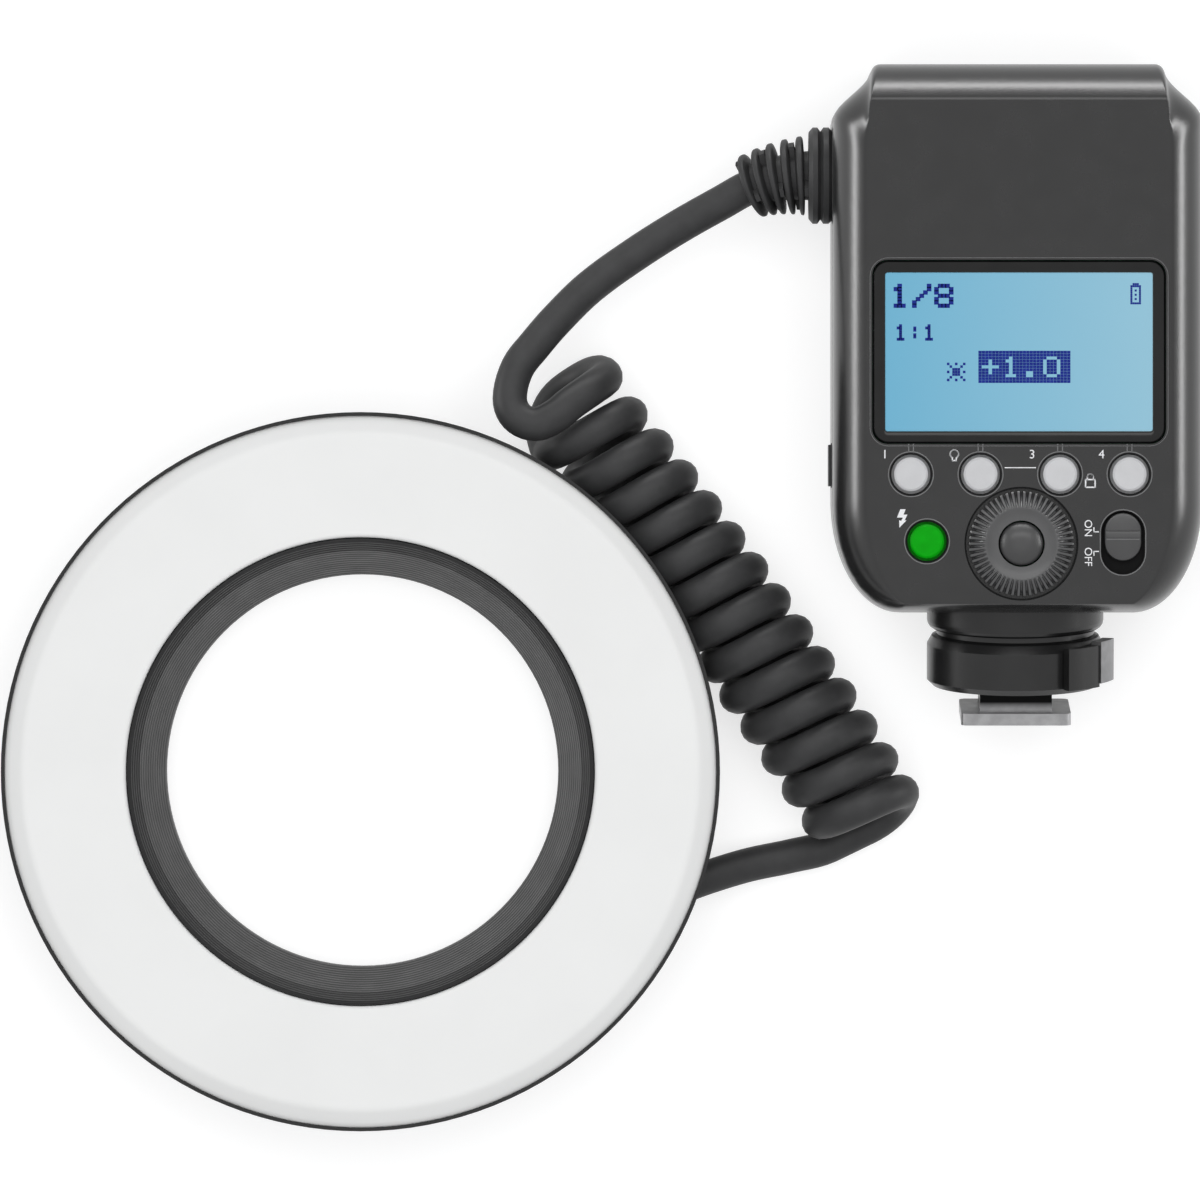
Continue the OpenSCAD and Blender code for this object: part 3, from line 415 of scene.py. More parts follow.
def painted_neck_reflection(mat):
    """Paints a dark reflection of the collar on a surface beyond a place in the row's Y, where the foot's
    neck enters the collar.
    """
    nodes = mat.node_tree.nodes
    links = mat.node_tree.links
    shader = nodes["Principled BSDF"]
    split = nodes.new("ShaderNodeSeparateXYZ")
    links.new(nodes["Texture Coordinate"].outputs["Object"], split.inputs["Vector"])
    share = nodes.new("ShaderNodeMapRange")
    share.inputs["From Min"].default_value = NECK_LOW
    share.inputs["From Max"].default_value = NECK_HIGH
    links.new(split.outputs["Y"], share.inputs["Value"])
    mixer = nodes.new("ShaderNodeMixRGB")
    links.new(share.outputs["Result"], mixer.inputs["Fac"])
    links.new(nodes["Tint"].outputs["Color"], mixer.inputs["Color1"])
    mixer.inputs["Color2"].default_value = (NECK_REFLECTION_DARK, NECK_REFLECTION_DARK, NECK_REFLECTION_DARK, 1.0)
    links.new(mixer.outputs["Color"], shader.inputs["Base Color"])
    return mat


# Backlit display: strength of its glow and the places along X between which its colour runs, in metres
PANEL_GLOW = 0.55
GLOW_FROM = 0.0887
GLOW_TO = 0.1337


def lit_panel(name, face, left, right):
    """Surface of one colour with a glow that runs from a left to a right colour."""
    mat = surface(name, face, face, 0.18, patch=60.0, grain=1500.0, bump=0.02, sheen=0.3)
    nodes = mat.node_tree.nodes
    links = mat.node_tree.links
    shader = nodes["Principled BSDF"]
    place = nodes["Texture Coordinate"]
    split = nodes.new("ShaderNodeSeparateXYZ")
    links.new(place.outputs["Object"], split.inputs["Vector"])
    share = nodes.new("ShaderNodeMapRange")
    share.inputs["From Min"].default_value = GLOW_FROM
    share.inputs["From Max"].default_value = GLOW_TO
    links.new(split.outputs["X"], share.inputs["Value"])
    ramp = nodes.new("ShaderNodeValToRGB")
    ramp.color_ramp.elements[0].color = (*left, 1.0)
    ramp.color_ramp.elements[1].color = (*right, 1.0)
    links.new(share.outputs["Result"], ramp.inputs["Fac"])
    links.new(ramp.outputs["Color"], shader.inputs["Emission Color"])
    shader.inputs["Emission Strength"].default_value = PANEL_GLOW
    return mat


def grey(level):
    return level, level, level * 1.02


SHELL = surface("shell", grey(0.012), grey(0.014), 0.25, grain=5200.0, bump=0.05, spread=0.015)
KNOB = surface("knob", grey(0.038), grey(0.044), 0.34, grain=5200.0, bump=0.04, spread=0.015)
DIAL_GREY = surface("dial_plastic", grey(0.062), grey(0.07), 0.32, grain=5200.0, bump=0.04, spread=0.015)
# Light grey of the moulded rims: partly worn edges, partly a painted highlight on them
EDGE_WEAR_AND_HIGHLIGHT = surface("edge_wear_and_highlight", grey(0.11), grey(0.13), 0.35, patch=700.0, bump=0.04)
# Near-black matt sheet that paints the shade at the bottom of the switch's recess
PAINTED_WELL_SHADE = surface("well_shade", grey(0.003), grey(0.005), 0.7, bump=0.1, sheen=0.1)
BLACK = surface("black", grey(0.008), grey(0.01), 0.26, grain=4200.0, bump=0.04, spread=0.015, sheen=0.4)
WINDOW = surface("window_gloss", grey(0.004), grey(0.006), 0.12, bump=0.01, sheen=0.3)
GLASS = surface("clear_glass", (0.55, 0.6, 0.63), (0.62, 0.66, 0.7), 0.08, bump=0.02, coat=0.5)
WHITE = surface("white_plastic", grey(0.69), grey(0.76), 0.5, bump=0.05)
MILK = surface("milky_cover", (0.81, 0.81, 0.802), (0.835, 0.835, 0.827), 0.5, patch=40.0,
               grain=3000.0, bump=0.03, sheen=0.3)
BOARD = surface("circuit_board", (0.01, 0.09, 0.03), (0.02, 0.14, 0.05), 0.4, patch=900.0, bump=0.2)
KEY = surface("key_plastic", grey(0.54), grey(0.57), 0.5, patch=400.0, bump=0.06, sheen=0.3)
GREEN = surface("green_plastic", (0.0, 0.31, 0.002), (0.001, 0.36, 0.004), 0.4, patch=400.0, bump=0.04,
                sheen=0.08)
RUBBER = surface("cord_rubber", grey(0.035), grey(0.042), 0.5, patch=300.0, grain=3800.0, bump=0.1,
                 spread=0.04, sheen=0.2)
STEEL = surface("plain_steel", grey(0.2), grey(0.25), 0.34, patch=500.0, metallic=1.0, bump=0.05)
BRASS = surface("brass", (0.5, 0.36, 0.14), (0.62, 0.46, 0.2), 0.3, patch=500.0, metallic=1.0, bump=0.05)
ALUMINIUM = surface("sheet_aluminium", grey(0.6), grey(0.7), 0.3, patch=300.0, metallic=1.0, bump=0.05)
SLEEVE = grooved(surface("sleeve", grey(0.018), grey(0.02), 0.45, bump=0.05, sheen=0.15), 900.0, 0.25)
PRINT = surface("white_print", grey(0.76), grey(0.82), 0.6, patch=600.0, bump=0.03)
INK = surface("display_ink", (0.012, 0.024, 0.2), (0.016, 0.03, 0.25), 0.5, patch=600.0, bump=0.02,
              sheen=0.05)
PANEL = lit_panel("display_panel", (0.08, 0.23, 0.34), (0.11, 0.34, 0.47), (0.35, 0.52, 0.56))
# Foot steel whose neck carries a painted dark reflection of the collar
FOOT = painted_neck_reflection(surface("foot_steel", grey(0.3), grey(0.38), 0.36, patch=500.0, metallic=1.0, bump=0.05))

# Materials of the solids, by slot, and by node where a piece has its own
SLOT_MATERIAL = {
    "dark_plastic": SHELL, "black_plastic": BLACK, "window_plastic": WINDOW, "display_glass": GLASS,
    "white_plastic": WHITE, "diffuser_plastic": MILK, "board": BOARD, "key_plastic": KEY,
    "green_plastic": GREEN, "rubber": RUBBER, "steel": STEEL, "brass": BRASS, "aluminium": ALUMINIUM,
}
NODE_MATERIAL = {"ring_sleeve": SLEEVE, "lock_lever": BLACK, "shoe_foot": FOOT}


def wear(obj, mat):
    obj.data.materials.clear()
    obj.data.materials.append(mat)


for entry in frame["record"]["subparts"]:
    plain = SLOT_MATERIAL[entry["material_slot"]]
    wear(frame["nodes"][entry["node"]], NODE_MATERIAL.get(entry["node"], plain))
wear(cord, RUBBER)


def dress(obj, mat, body, slot, *nodes):
    """Finishes a new piece: its material, what it moves with and the solids it stands for."""
    wear(obj, mat)
    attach(obj, body)
    if nodes:
        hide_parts(*nodes)
    return obj


# Control unit's covers: smooth lofts of the same outline as the solids, with a broad bevel round the face
BODY_W = 62.4
BODY_H = 92.7
TOP_W = 49.6
FACE_W = 50.6
SEAM_Z = 28.0
WALL = 2.0
CORNER_RX = 11.7
CORNER_RY = 19.0
FACE_CORNER_RX = 10.3
SHOULDER_H = 8.4
SHOULDER_Y = BODY_H - 9.4
TOP_CORNER = 1.6
FACE_TAPER = 0.9
FACE_LOW = 1.6
FACE_HIGH = BODY_H - 6.5
EDGE_Z = BODY_D - 10.0
BACK_INSET = 3.0
BACK_ROUND = 6.0
BEVEL_EDGE = 0.9
BEVEL_OUT = 3.5
BEVEL_TILT = (33.0, 52.0)
BEVEL_STEPS = 10
OUTLINE_STEPS = 72
ROUND_STEPS = 20
SEAM_GROOVE = 0.3
SEAM_HALF = 0.1
SEAM_LIP = 0.3
REAR_LIP_INSET = 0.05
FRONT_LIP_INSET = 0.02
COVER_SMOOTH = 32


def ease(t):
    t = max(0.0, min(1.0, t))
    return t * t * (3 - 2 * t)


def corner_cut(y, rx):
    return rx * (1 - math.sqrt(1 - ((CORNER_RY - y) / CORNER_RY) ** 2)) if y < CORNER_RY else 0.0


def top_cut(y):
    rise = (y - BODY_H) / TOP_CORNER + 1
    return TOP_CORNER * (1 - math.sqrt(max(0.0, 1 - rise * rise))) if rise > 0 else 0.0


def shoulder(y):
    return ease((y - SHOULDER_Y) / SHOULDER_H)


def side_x(y):
    return BODY_W / 2 - corner_cut(y, CORNER_RX) - (BODY_W - TOP_W) / 2 * shoulder(y) - top_cut(y)


def face_x(y):
    return FACE_W / 2 - corner_cut(y, FACE_CORNER_RX) - FACE_TAPER * shoulder(y)


def body_ring(f, z, inset, to_face):
    """Ring at height z; f runs from the unit's side (0) in to the edge of its face or of its back (1)."""
    right = []
    for i in range(OUTLINE_STEPS + 1):
        t = (1 - math.cos(math.pi * i / OUTLINE_STEPS)) / 2
        ys = t * BODY_H
        yf = FACE_LOW + (FACE_HIGH - FACE_LOW) * t if to_face else ys + BACK_INSET * (1 - 2 * t)
        xf = face_x(yf) if to_face else side_x(ys) - BACK_INSET
        x = side_x(ys) + (xf - side_x(ys)) * f - inset
        right.append((x, ys + (yf - ys) * f + inset * (1 - 2 * t)))
    ring = right + [(-x, y) for x, y in reversed(right)]
    return [(UNIT_X + x, UNIT_Y + y, z) for x, y in ring]


def bevel_levels():
    """Distances out from the face's edge and heights: a short round, a broad bevel and a turn to the side."""
    out = 0.0
    z = BODY_D
    levels = [(out, z)]
    for width, low, high in ((BEVEL_EDGE, 0.0, BEVEL_TILT[0]), (BEVEL_OUT - BEVEL_EDGE, *BEVEL_TILT)):
        for i in range(BEVEL_STEPS):
            tilt = low + (high - low) * (i + 0.5) / BEVEL_STEPS
            out += width / BEVEL_STEPS
            z -= width / BEVEL_STEPS * math.tan(math.radians(tilt))
            levels.append((out, z))
    run = (BODY_W - FACE_W) / 2 - out
    rise = z - EDGE_Z
    grade = math.tan(math.radians(BEVEL_TILT[1]))
    turn = math.acos(run * grade / (rise - run * grade))
    for i in range(1, ROUND_STEPS + 1):
        q = turn * (1 - i / ROUND_STEPS)
        inwards = run * (1 - math.cos(q)) / (1 - math.cos(turn))
        levels.append((out + run - inwards, EDGE_Z + rise * math.sin(q) / math.sin(turn)))
    return levels


def bevelled():
    """Outer rings of the rear cover, from its side to its face."""
    width = (BODY_W - FACE_W) / 2
    return [body_ring(1 - out / width, z, 0, True) for out, z in reversed(bevel_levels())]


def rounded_inside(inset, high):
    rings = []
    for i in range(ROUND_STEPS + 1):
        q = math.pi / 2 * i / ROUND_STEPS
        rings.append(body_ring(1 - math.cos(q), EDGE_Z + (high - EDGE_Z) * math.sin(q), inset, True))
    return rings


def on_face(x, y):
    return UNIT_X + x, UNIT_Y + y


# Controls and cover screws: places on the unit, from its axis and its lower edge
GREY_KEYS = [(-18.2, 23.3), (-6.5, 23.3), (6.9, 23.3), (18.6, 23.3)]
TEST_BUTTON = (-15.5, 12.0)
KEYS = GREY_KEYS + [TEST_BUTTON]
SCREWS = [(-24.0, 16.0), (24.0, 16.0), (-24.0, 68.0), (24.0, 68.0)]
KEY_D = 5.7
KEY_PLAY = 0.45
KEY_HOLE_R = KEY_D / 2 + KEY_PLAY
DIAL = (0.4, 11.6)
DIAL_POCKET_R = 9.3
DIAL_HUB_R = 5.85
SWITCH = (17.5, 11.8)
WINDOW_Y = 43.9
WINDOW_W = 49.2
WINDOW_H = 30.7
WINDOW_R = 2.6

# Rear cover's openings: heights that the cutters span, and depths and chamfers at each opening
CUT_LOW = 40.0
CUT_HIGH = 46.0
KEY_CHAMFER = 0.35
KEY_FLARE = 0.7
POCKET_DEPTH = 1.6
POCKET_CHAMFER = 0.3
POCKET_FLARE = 0.6
SWITCH_SLOT = (7.4, 10.8)
SWITCH_SLOT_DEPTH = 1.2
WINDOW_PLAY = 0.3

# Front cover's openings, as low and high corners on the unit: battery bay, port flap and port
FRONT_OPENINGS = [
    ((0.0, 22.7, 3.7), (40.0, 57.3, 22.3)),
    ((-40.0, 21.2, 10.2), (-30.25, 28.8, 21.8)),
    ((-40.0, 23.3, 11.5), (-28.0, 26.7, 20.5)),
]
SCREW_HOLE_R = 2.5
SCREW_HOLE_Z = (-1.0, 1.8)


def oblong_outline(centre, width, length, steps=16):
    points = []
    for sign, start in ((1, 0), (-1, 180)):
        for i in range(steps + 1):
            q = math.radians(start + 180 * i / steps)
            points.append((centre[0] + width / 2 * math.cos(q),
                           centre[1] + sign * (length - width) / 2 + width / 2 * math.sin(q)))
    return points


def rear_cutters():
    parts = []
    r = KEY_HOLE_R
    wide = r + KEY_FLARE
    profile = [(0, CUT_LOW), (r, CUT_LOW), (r, BODY_D - KEY_CHAMFER), (wide, BODY_D + KEY_CHAMFER),
               (wide, CUT_HIGH), (0, CUT_HIGH)]
    for key in KEYS:
        parts.append(lathe(profile, on_face(*key), steps=64, closed=False))
    r = DIAL_POCKET_R
    wide = r + POCKET_FLARE
    floor_z = BODY_D - POCKET_DEPTH
    profile = [(0, CUT_LOW), (DIAL_HUB_R, CUT_LOW), (DIAL_HUB_R, floor_z), (r, floor_z),
               (r, BODY_D - POCKET_CHAMFER), (wide, BODY_D + POCKET_CHAMFER), (wide, CUT_HIGH), (0, CUT_HIGH)]
    parts.append(lathe(profile, on_face(*DIAL), steps=96, closed=False))
    parts.append(prism(oblong_outline(on_face(*SWITCH), *SWITCH_SLOT), BODY_D - SWITCH_SLOT_DEPTH, CUT_HIGH))
    opening = round_box_outline(on_face(0, WINDOW_Y), WINDOW_W + WINDOW_PLAY, WINDOW_H + WINDOW_PLAY,
                                WINDOW_R)
    parts.append(prism(opening, CUT_LOW, CUT_HIGH))
    return joined("rear_cutters", parts)


rear_outside = [body_ring(0, SEAM_Z + SEAM_HALF, SEAM_GROOVE, True),
                body_ring(0, SEAM_Z + SEAM_LIP, REAR_LIP_INSET, True)] + bevelled()
rear_inside = [body_ring(0, SEAM_Z + SEAM_HALF, WALL, True)] + rounded_inside(WALL, BODY_D - WALL)
case_rear = new_object("case_rear", *loft_shell(rear_outside, rear_inside))
cut(case_rear, rear_cutters())
smooth(case_rear.data, COVER_SMOOTH)
dress(case_rear, SHELL, "control_unit", "dark_plastic", "rear_cover")


def front_stack(inset, low):
    rings = [body_ring(0, SEAM_Z - SEAM_HALF, max(inset, SEAM_GROOVE), False),
             body_ring(0, SEAM_Z - SEAM_LIP, inset + FRONT_LIP_INSET, False)]
    for i in range(ROUND_STEPS + 1):
        q = math.pi / 2 * i / ROUND_STEPS
        rings.append(body_ring(1 - math.cos(q), low + (BACK_ROUND - low) * (1 - math.sin(q)), inset, False))
    return rings


def front_cutters():
    parts = []
    for low, high in FRONT_OPENINGS:
        parts.append(box((*on_face(low[0], low[1]), low[2]), (*on_face(high[0], high[1]), high[2])))
    low, high = SCREW_HOLE_Z
    profile = [(0, low), (SCREW_HOLE_R, low), (SCREW_HOLE_R, high), (0, high)]
    for place in SCREWS:
        parts.append(lathe(profile, on_face(*place), steps=48, closed=False))
    return joined("front_cutters", parts)


case_front = new_object("case_front", *loft_shell(front_stack(0, 0.0), front_stack(WALL, WALL)))
cut(case_front, front_cutters())
smooth(case_front.data, COVER_SMOOTH)
dress(case_front, SHELL, "control_unit", "dark_plastic", "front_cover")

# Fine moulded rims round the keys, the switch and the window, and two ribs over each grey key, in a light
# grey that is partly wear and partly a painted highlight
RIM_W = 0.17
RIM_RISE = 0.06
KEY_RIM_OFF = 0.4
KEY_RIB_X = 0.4
KEY_RIB_OFF = 0.6
KEY_RIB_LENGTH = 1.2
SWITCH_RIM = (7.5, 10.9)
WINDOW_RIM_OFF = 0.9


def circle_outline(centre, radius, steps=64):
    angles = [2 * math.pi * k / steps for k in range(steps)]
    return [(centre[0] + radius * math.cos(q), centre[1] + radius * math.sin(q)) for q in angles]


def bead(inner, outer):
    """Flat raised ring between two outlines of as many points."""
    n = len(inner)
    low = BODY_D - RIM_RISE
    high = BODY_D + RIM_RISE
    loops = [(inner, low), (inner, high), (outer, high), (outer, low)]
    verts = [(x, y, z) for outline, z in loops for x, y in outline]
    faces = []
    for k in range(len(loops)):
        a = k * n
        b = (k + 1) % len(loops) * n
        faces += [(a + i, a + (i + 1) % n, b + (i + 1) % n, b + i) for i in range(n)]
    return verts, faces


def rims():
    parts = []
    for x, y in KEYS:
        r = KEY_HOLE_R + KEY_RIM_OFF
        parts.append(bead(circle_outline(on_face(x, y), r), circle_outline(on_face(x, y), r + RIM_W)))
    for x, y in GREY_KEYS:
        for side in (-KEY_RIB_X, KEY_RIB_X):
            cx, cy = on_face(x + side, y + KEY_HOLE_R + KEY_RIB_OFF)
            parts.append(box((cx - RIM_W / 2, cy, BODY_D - RIM_RISE),
                             (cx + RIM_W / 2, cy + KEY_RIB_LENGTH, BODY_D + RIM_RISE)))
    place = on_face(*SWITCH)
    wide, tall = SWITCH_RIM
    parts.append(bead(oblong_outline(place, wide, tall),
                      oblong_outline(place, wide + 2 * RIM_W, tall + 2 * RIM_W)))
    place = on_face(0, WINDOW_Y)
    wide = WINDOW_W + WINDOW_RIM_OFF
    tall = WINDOW_H + WINDOW_RIM_OFF
    corner = WINDOW_R + WINDOW_RIM_OFF / 2
    parts.append(bead(round_box_outline(place, wide, tall, corner),
                      round_box_outline(place, wide + RIM_W, tall + RIM_W, corner + RIM_W / 2)))
    return parts


dress(joined("control_rims", rims()), EDGE_WEAR_AND_HIGHLIGHT, "control_unit", "dark_plastic")

# Dial: each row is a radius, a height and how far a slot goes inwards and down there
DIAL_ROWS = [
    (3.9, 41.0, 0, 0), (5.4, 41.0, 0, 0), (5.4, 42.6, 0, 0), (8.9, 42.6, 0.8, 0), (8.9, 43.95, 0.8, 0),
    (8.8, 44.15, 0.6, 0.5), (8.5, 44.35, 0, 0.95), (7.6, 44.73, 0, 0.85), (6.8, 45.03, 0, 0.6),
    (6.4, 45.17, 0, 0.25), (6.15, 45.2, 0, 0), (5.8, 45.17, 0, 0), (5.5, 44.95, 0, 0), (3.9, 44.85, 0, 0),
]
KNURLS = 54
KNURL_STEPS = 10
KNURL_SLOT_HALF = 0.24
KNURL_SLOT_EDGE = 0.1


def slot_share(k):
    """1 in a slot, 0 on a ridge."""
    off = abs(k % KNURL_STEPS / KNURL_STEPS - 0.5)
    return max(0.0, min(1.0, (KNURL_SLOT_HALF - off) / KNURL_SLOT_EDGE))


def knurled_dial():
    n = KNURLS * KNURL_STEPS
    cx, cy = on_face(*DIAL)
    verts = []
    for radius, z, inwards, down in DIAL_ROWS:
        for k in range(n):
            q = 2 * math.pi * k / n
            r = radius - inwards * slot_share(k)
            verts.append((cx + r * math.cos(q), cy + r * math.sin(q), z - down * slot_share(k)))
    faces = []
    for j in range(len(DIAL_ROWS)):
        a = j * n
        b = (j + 1) % len(DIAL_ROWS) * n
        faces += [(a + k, a + (k + 1) % n, b + (k + 1) % n, b + k) for k in range(n)]
    return verts, faces


dress(new_object("knurled_dial", *knurled_dial(), smooth_angle=35), DIAL_GREY, "control_dial",
      "dark_plastic", "control_dial")

# Button in the dial, with a domed top
CAP_R = 3.65
CAP_FOOT_Z = 40.5
CAP_EDGE_Z = 44.7
CAP_EDGE_DROP = 0.15
CAP_EDGE_IN = 0.12
CAP_RISE = 1.4
CAP_BULGE = 2.5
CAP_STEPS = 16


def domed_cap():
    points = [(0, CAP_FOOT_Z), (CAP_R, CAP_FOOT_Z), (CAP_R, CAP_EDGE_Z - CAP_EDGE_DROP)]
    for i in range(CAP_STEPS + 1):
        share = 1 - i / CAP_STEPS
        points.append((share * (CAP_R - CAP_EDGE_IN), CAP_EDGE_Z + CAP_RISE * (1 - share ** CAP_BULGE)))
    return points


cap = new_object("domed_cap", *lathe(domed_cap(), on_face(*DIAL), steps=96, closed=False), smooth_angle=40)
dress(cap, KNOB, "set_button", "dark_plastic", "set_button")

# Power switch: an oblong knob with a cross ridge, over a black sheet that paints the shade in its recess
KNOB_W = 6.2
KNOB_L = 8.1
KNOB_UP = 0.95
KNOB_PLACE = on_face(SWITCH[0], SWITCH[1] + KNOB_UP)
KNOB_LEVELS = [(42.95, 0), (43.9, 0), (44.15, 0.12), (44.3, 0.45)]
RIDGE = [(1.1, 44.2), (0.9, 44.65), (0.0, 44.9), (-0.2, 44.85), (-0.25, 44.2)]
RIDGE_IN = 0.25
MARK = [(-0.27, 44.25), (-0.27, 44.36), (-0.5, 44.36), (-0.5, 44.25)]
MARK_IN = 0.3
WELL_SHADE_SIZE = (7.35, 10.75)
WELL_SHADE_Z = (42.7, 42.88)


def oblong_loft(centre, levels):
    """Closed body through oblongs; each level is a height and an inset."""
    loops = [oblong_outline(centre, KNOB_W - 2 * inset, KNOB_L - 2 * inset) for _, inset in levels]
    n = len(loops[0])
    verts = [(x, y, z) for loop, (z, _) in zip(loops, levels) for x, y in loop]
    faces = [tuple(range(n - 1, -1, -1)), tuple(range(len(verts) - n, len(verts)))]
    for j in range(len(loops) - 1):
        a = j * n
        b = a + n
        faces += [(a + i, a + (i + 1) % n, b + (i + 1) % n, b + i) for i in range(n)]
    return verts, faces


def cross_bar(profile, half):
    """Bar along X at the knob, on a profile of (y, z)."""
    n = len(profile)
    cx, cy = KNOB_PLACE
    verts = [(cx + side * half, cy + y, z) for side in (-1, 1) for y, z in profile]
    faces = [tuple(range(n)), tuple(range(2 * n - 1, n - 1, -1))]
    faces += [(i, (i + 1) % n, n + (i + 1) % n, n + i) for i in range(n)]
    return verts, faces


knob_parts = [oblong_loft(KNOB_PLACE, KNOB_LEVELS), cross_bar(RIDGE, KNOB_W / 2 - RIDGE_IN)]
knob = joined("switch_knob", knob_parts, smooth_angle=30)
dress(knob, KNOB, "power_switch", "dark_plastic", "power_switch")
# Light line along the foot of the knob's ridge, in the rims' light grey
dress(joined("switch_mark", [cross_bar(MARK, KNOB_W / 2 - MARK_IN)]), EDGE_WEAR_AND_HIGHLIGHT, "power_switch", "dark_plastic")
# Black sheet under the knob: painted shade in the switch's recess
well_shade_outline = oblong_outline(on_face(*SWITCH), *WELL_SHADE_SIZE)
well_shade = joined("switch_well_shade", [prism(well_shade_outline, *WELL_SHADE_Z)], smooth_angle=30)
dress(well_shade, PAINTED_WELL_SHADE, "control_unit", "black_plastic")

# Display: a glossy frame, the lit panel set in it, and its dots
LIT_W = 45.1
LIT_H = 26.8
LIT_R = 0.4
PANEL_TOP = 43.5
PANEL_FOOT = 41.0
PANEL_PLAY = 0.1
FLAT_RISE = 0.02

# Rings of the display's frame: width, height, corner radius and level
FRAME_RINGS = [
    (WINDOW_W, WINDOW_H, WINDOW_R, 42.8),
    (WINDOW_W, WINDOW_H, WINDOW_R, 43.75),
    (WINDOW_W - 0.5, WINDOW_H - 0.5, WINDOW_R - 0.25, 44.0),
    (LIT_W + 0.6, LIT_H + 0.6, 0.7, 44.0),
    (LIT_W, LIT_H, LIT_R, 43.8),
    (LIT_W, LIT_H, LIT_R, 42.8),
]


def frame_outline(width, height, radius, z):
    return [(x, y, z) for x, y in round_box_outline(on_face(0, WINDOW_Y), width, height, radius)]


def window_frame():
    rings = [frame_outline(*row) for row in FRAME_RINGS]
    n = len(rings[0])
    faces = []
    for k in range(len(rings)):
        after = (k + 1) % len(rings)
        for i in range(n):
            faces.append((k * n + i, k * n + (i + 1) % n, after * n + (i + 1) % n, after * n + i))
    return [p for ring in rings for p in ring], faces


dress(new_object("window_frame", *window_frame(), smooth_angle=40), WINDOW, "control_unit", "window_plastic",
      "display_window")
panel_outline = round_box_outline(on_face(0, WINDOW_Y), LIT_W - PANEL_PLAY, LIT_H - PANEL_PLAY, LIT_R)
panel = joined("display_panel", [prism(panel_outline, PANEL_FOOT, PANEL_TOP)], smooth_angle=30)
dress(panel, PANEL, "control_unit", "display_glass", "display_glass")

# Display's dot letters and signs; a letter's step and a box's margins count dots
GLYPHS = {
    "0": (".###.", "#...#", "#...#", "#...#", "#...#", "#...#", ".###."),
    "1": ("..#..", ".##..", "..#..", "..#..", "..#..", "..#..", ".###."),
    "8": (".###.", "#...#", "#...#", ".###.", "#...#", "#...#", ".###."),
    "/": ("....#", "....#", "...#.", "..#..", ".#...", "#....", "#...."),
    ":": (".....", "..#..", "..#..", ".....", "..#..", "..#..", "....."),
    "+": (".....", "..#..", "..#..", "#####", "..#..", "..#..", "....."),
    ".": (".....", ".....", ".....", ".....", ".....", ".##..", ".##.."),
}
BATTERY_ROWS = (".###.", "#####", "#...#", "#.#.#", "#...#", "#.#.#", "#...#", "#.#.#", "#...#", "#####")
SUN_ROWS = ("#..#..#", ".#...#.", "..###..", "#.###.#", "..###..", ".#...#.", "#..#..#")
BOLD = -0.14
LETTER_STEP = 6
BOX_LEFT = 1
BOX_TOP = 2


def dots(rows, left, top, size, tall=1.0, space=0.02):
    """Flat dots where a row has a mark; space is what each edge leaves free, as a share of the dot."""
    parts = []
    z = PANEL_TOP + FLAT_RISE
    gap = space * size
    for r, row in enumerate(rows):
        for c, mark in enumerate(row):
            if mark == "#":
                west = left + c * size + gap
                east = left + (c + 1) * size - gap
                south = top - (r + 1) * size * tall + gap
                north = top - r * size * tall - gap
                corners = [(west, south, z), (east, south, z), (east, north, z), (west, north, z)]
                parts.append((corners, [(0, 1, 2, 3)]))
    return parts


def word(text, left, top, size, tall=1.0):
    parts = []
    for i, letter in enumerate(text):
        parts += dots(GLYPHS[letter], left + i * LETTER_STEP * size, top, size, tall, BOLD)
    return parts


def boxed_word(text, left, top, size, tall, width, height):
    """Light text in a dark box: the box's dots are drawn where the text has none."""
    rows = [["#"] * width for _ in range(height)]
    for i, letter in enumerate(text):
        for r, row in enumerate(GLYPHS[letter]):
            for c, mark in enumerate(row):
                if mark == "#":
                    rows[r + BOX_TOP][c + BOX_LEFT + i * LETTER_STEP] = "."
    return dots(rows, left, top, size, tall)


LCD_LEFT = UNIT_X - LIT_W / 2
LCD_TOP = UNIT_Y + WINDOW_Y + LIT_H / 2
lcd = word("1/8", LCD_LEFT + 0.9, LCD_TOP - 2.0, size=0.62, tall=0.9)
lcd += word("1:1", LCD_LEFT + 1.6, LCD_TOP - 8.8, size=0.4, tall=0.95)
lcd += boxed_word("+1.0", LCD_LEFT + 15.7, LCD_TOP - 13.2, size=0.575, tall=0.86, width=27, height=11)
lcd += dots(SUN_ROWS, LCD_LEFT + 10.4, LCD_TOP - 15.2, size=0.45)
lcd += dots(BATTERY_ROWS, LCD_LEFT + 41.3, LCD_TOP - 1.8, size=0.36)
dress(joined("display_dots", lcd), INK, "control_unit", "window_plastic")

# Printed marks beside the controls: numbers, signs, and ON and OFF
PRINT_Z = BODY_D + FLAT_RISE
LINE_W = 0.22
THIN_LINE_W = 0.16
TICK_W = 0.18
NUMBER_H = 1.5
WORD_H = 1.3
TEXT_SCALE = 1.4
NUMBERS = (("1", -22.6), ("3", 2.2), ("4", 13.9))
NUMBERS_Y = 26.6
BOLT = [(-0.2, 1.5), (0.7, 1.5), (0.35, 0.6), (1.0, 0.6), (0.5, -0.4), (0.85, -0.35), (-0.35, -1.6),
        (-0.4, -0.3), (-0.05, -0.5), (0.25, 0.1), (-0.75, 0.1)]


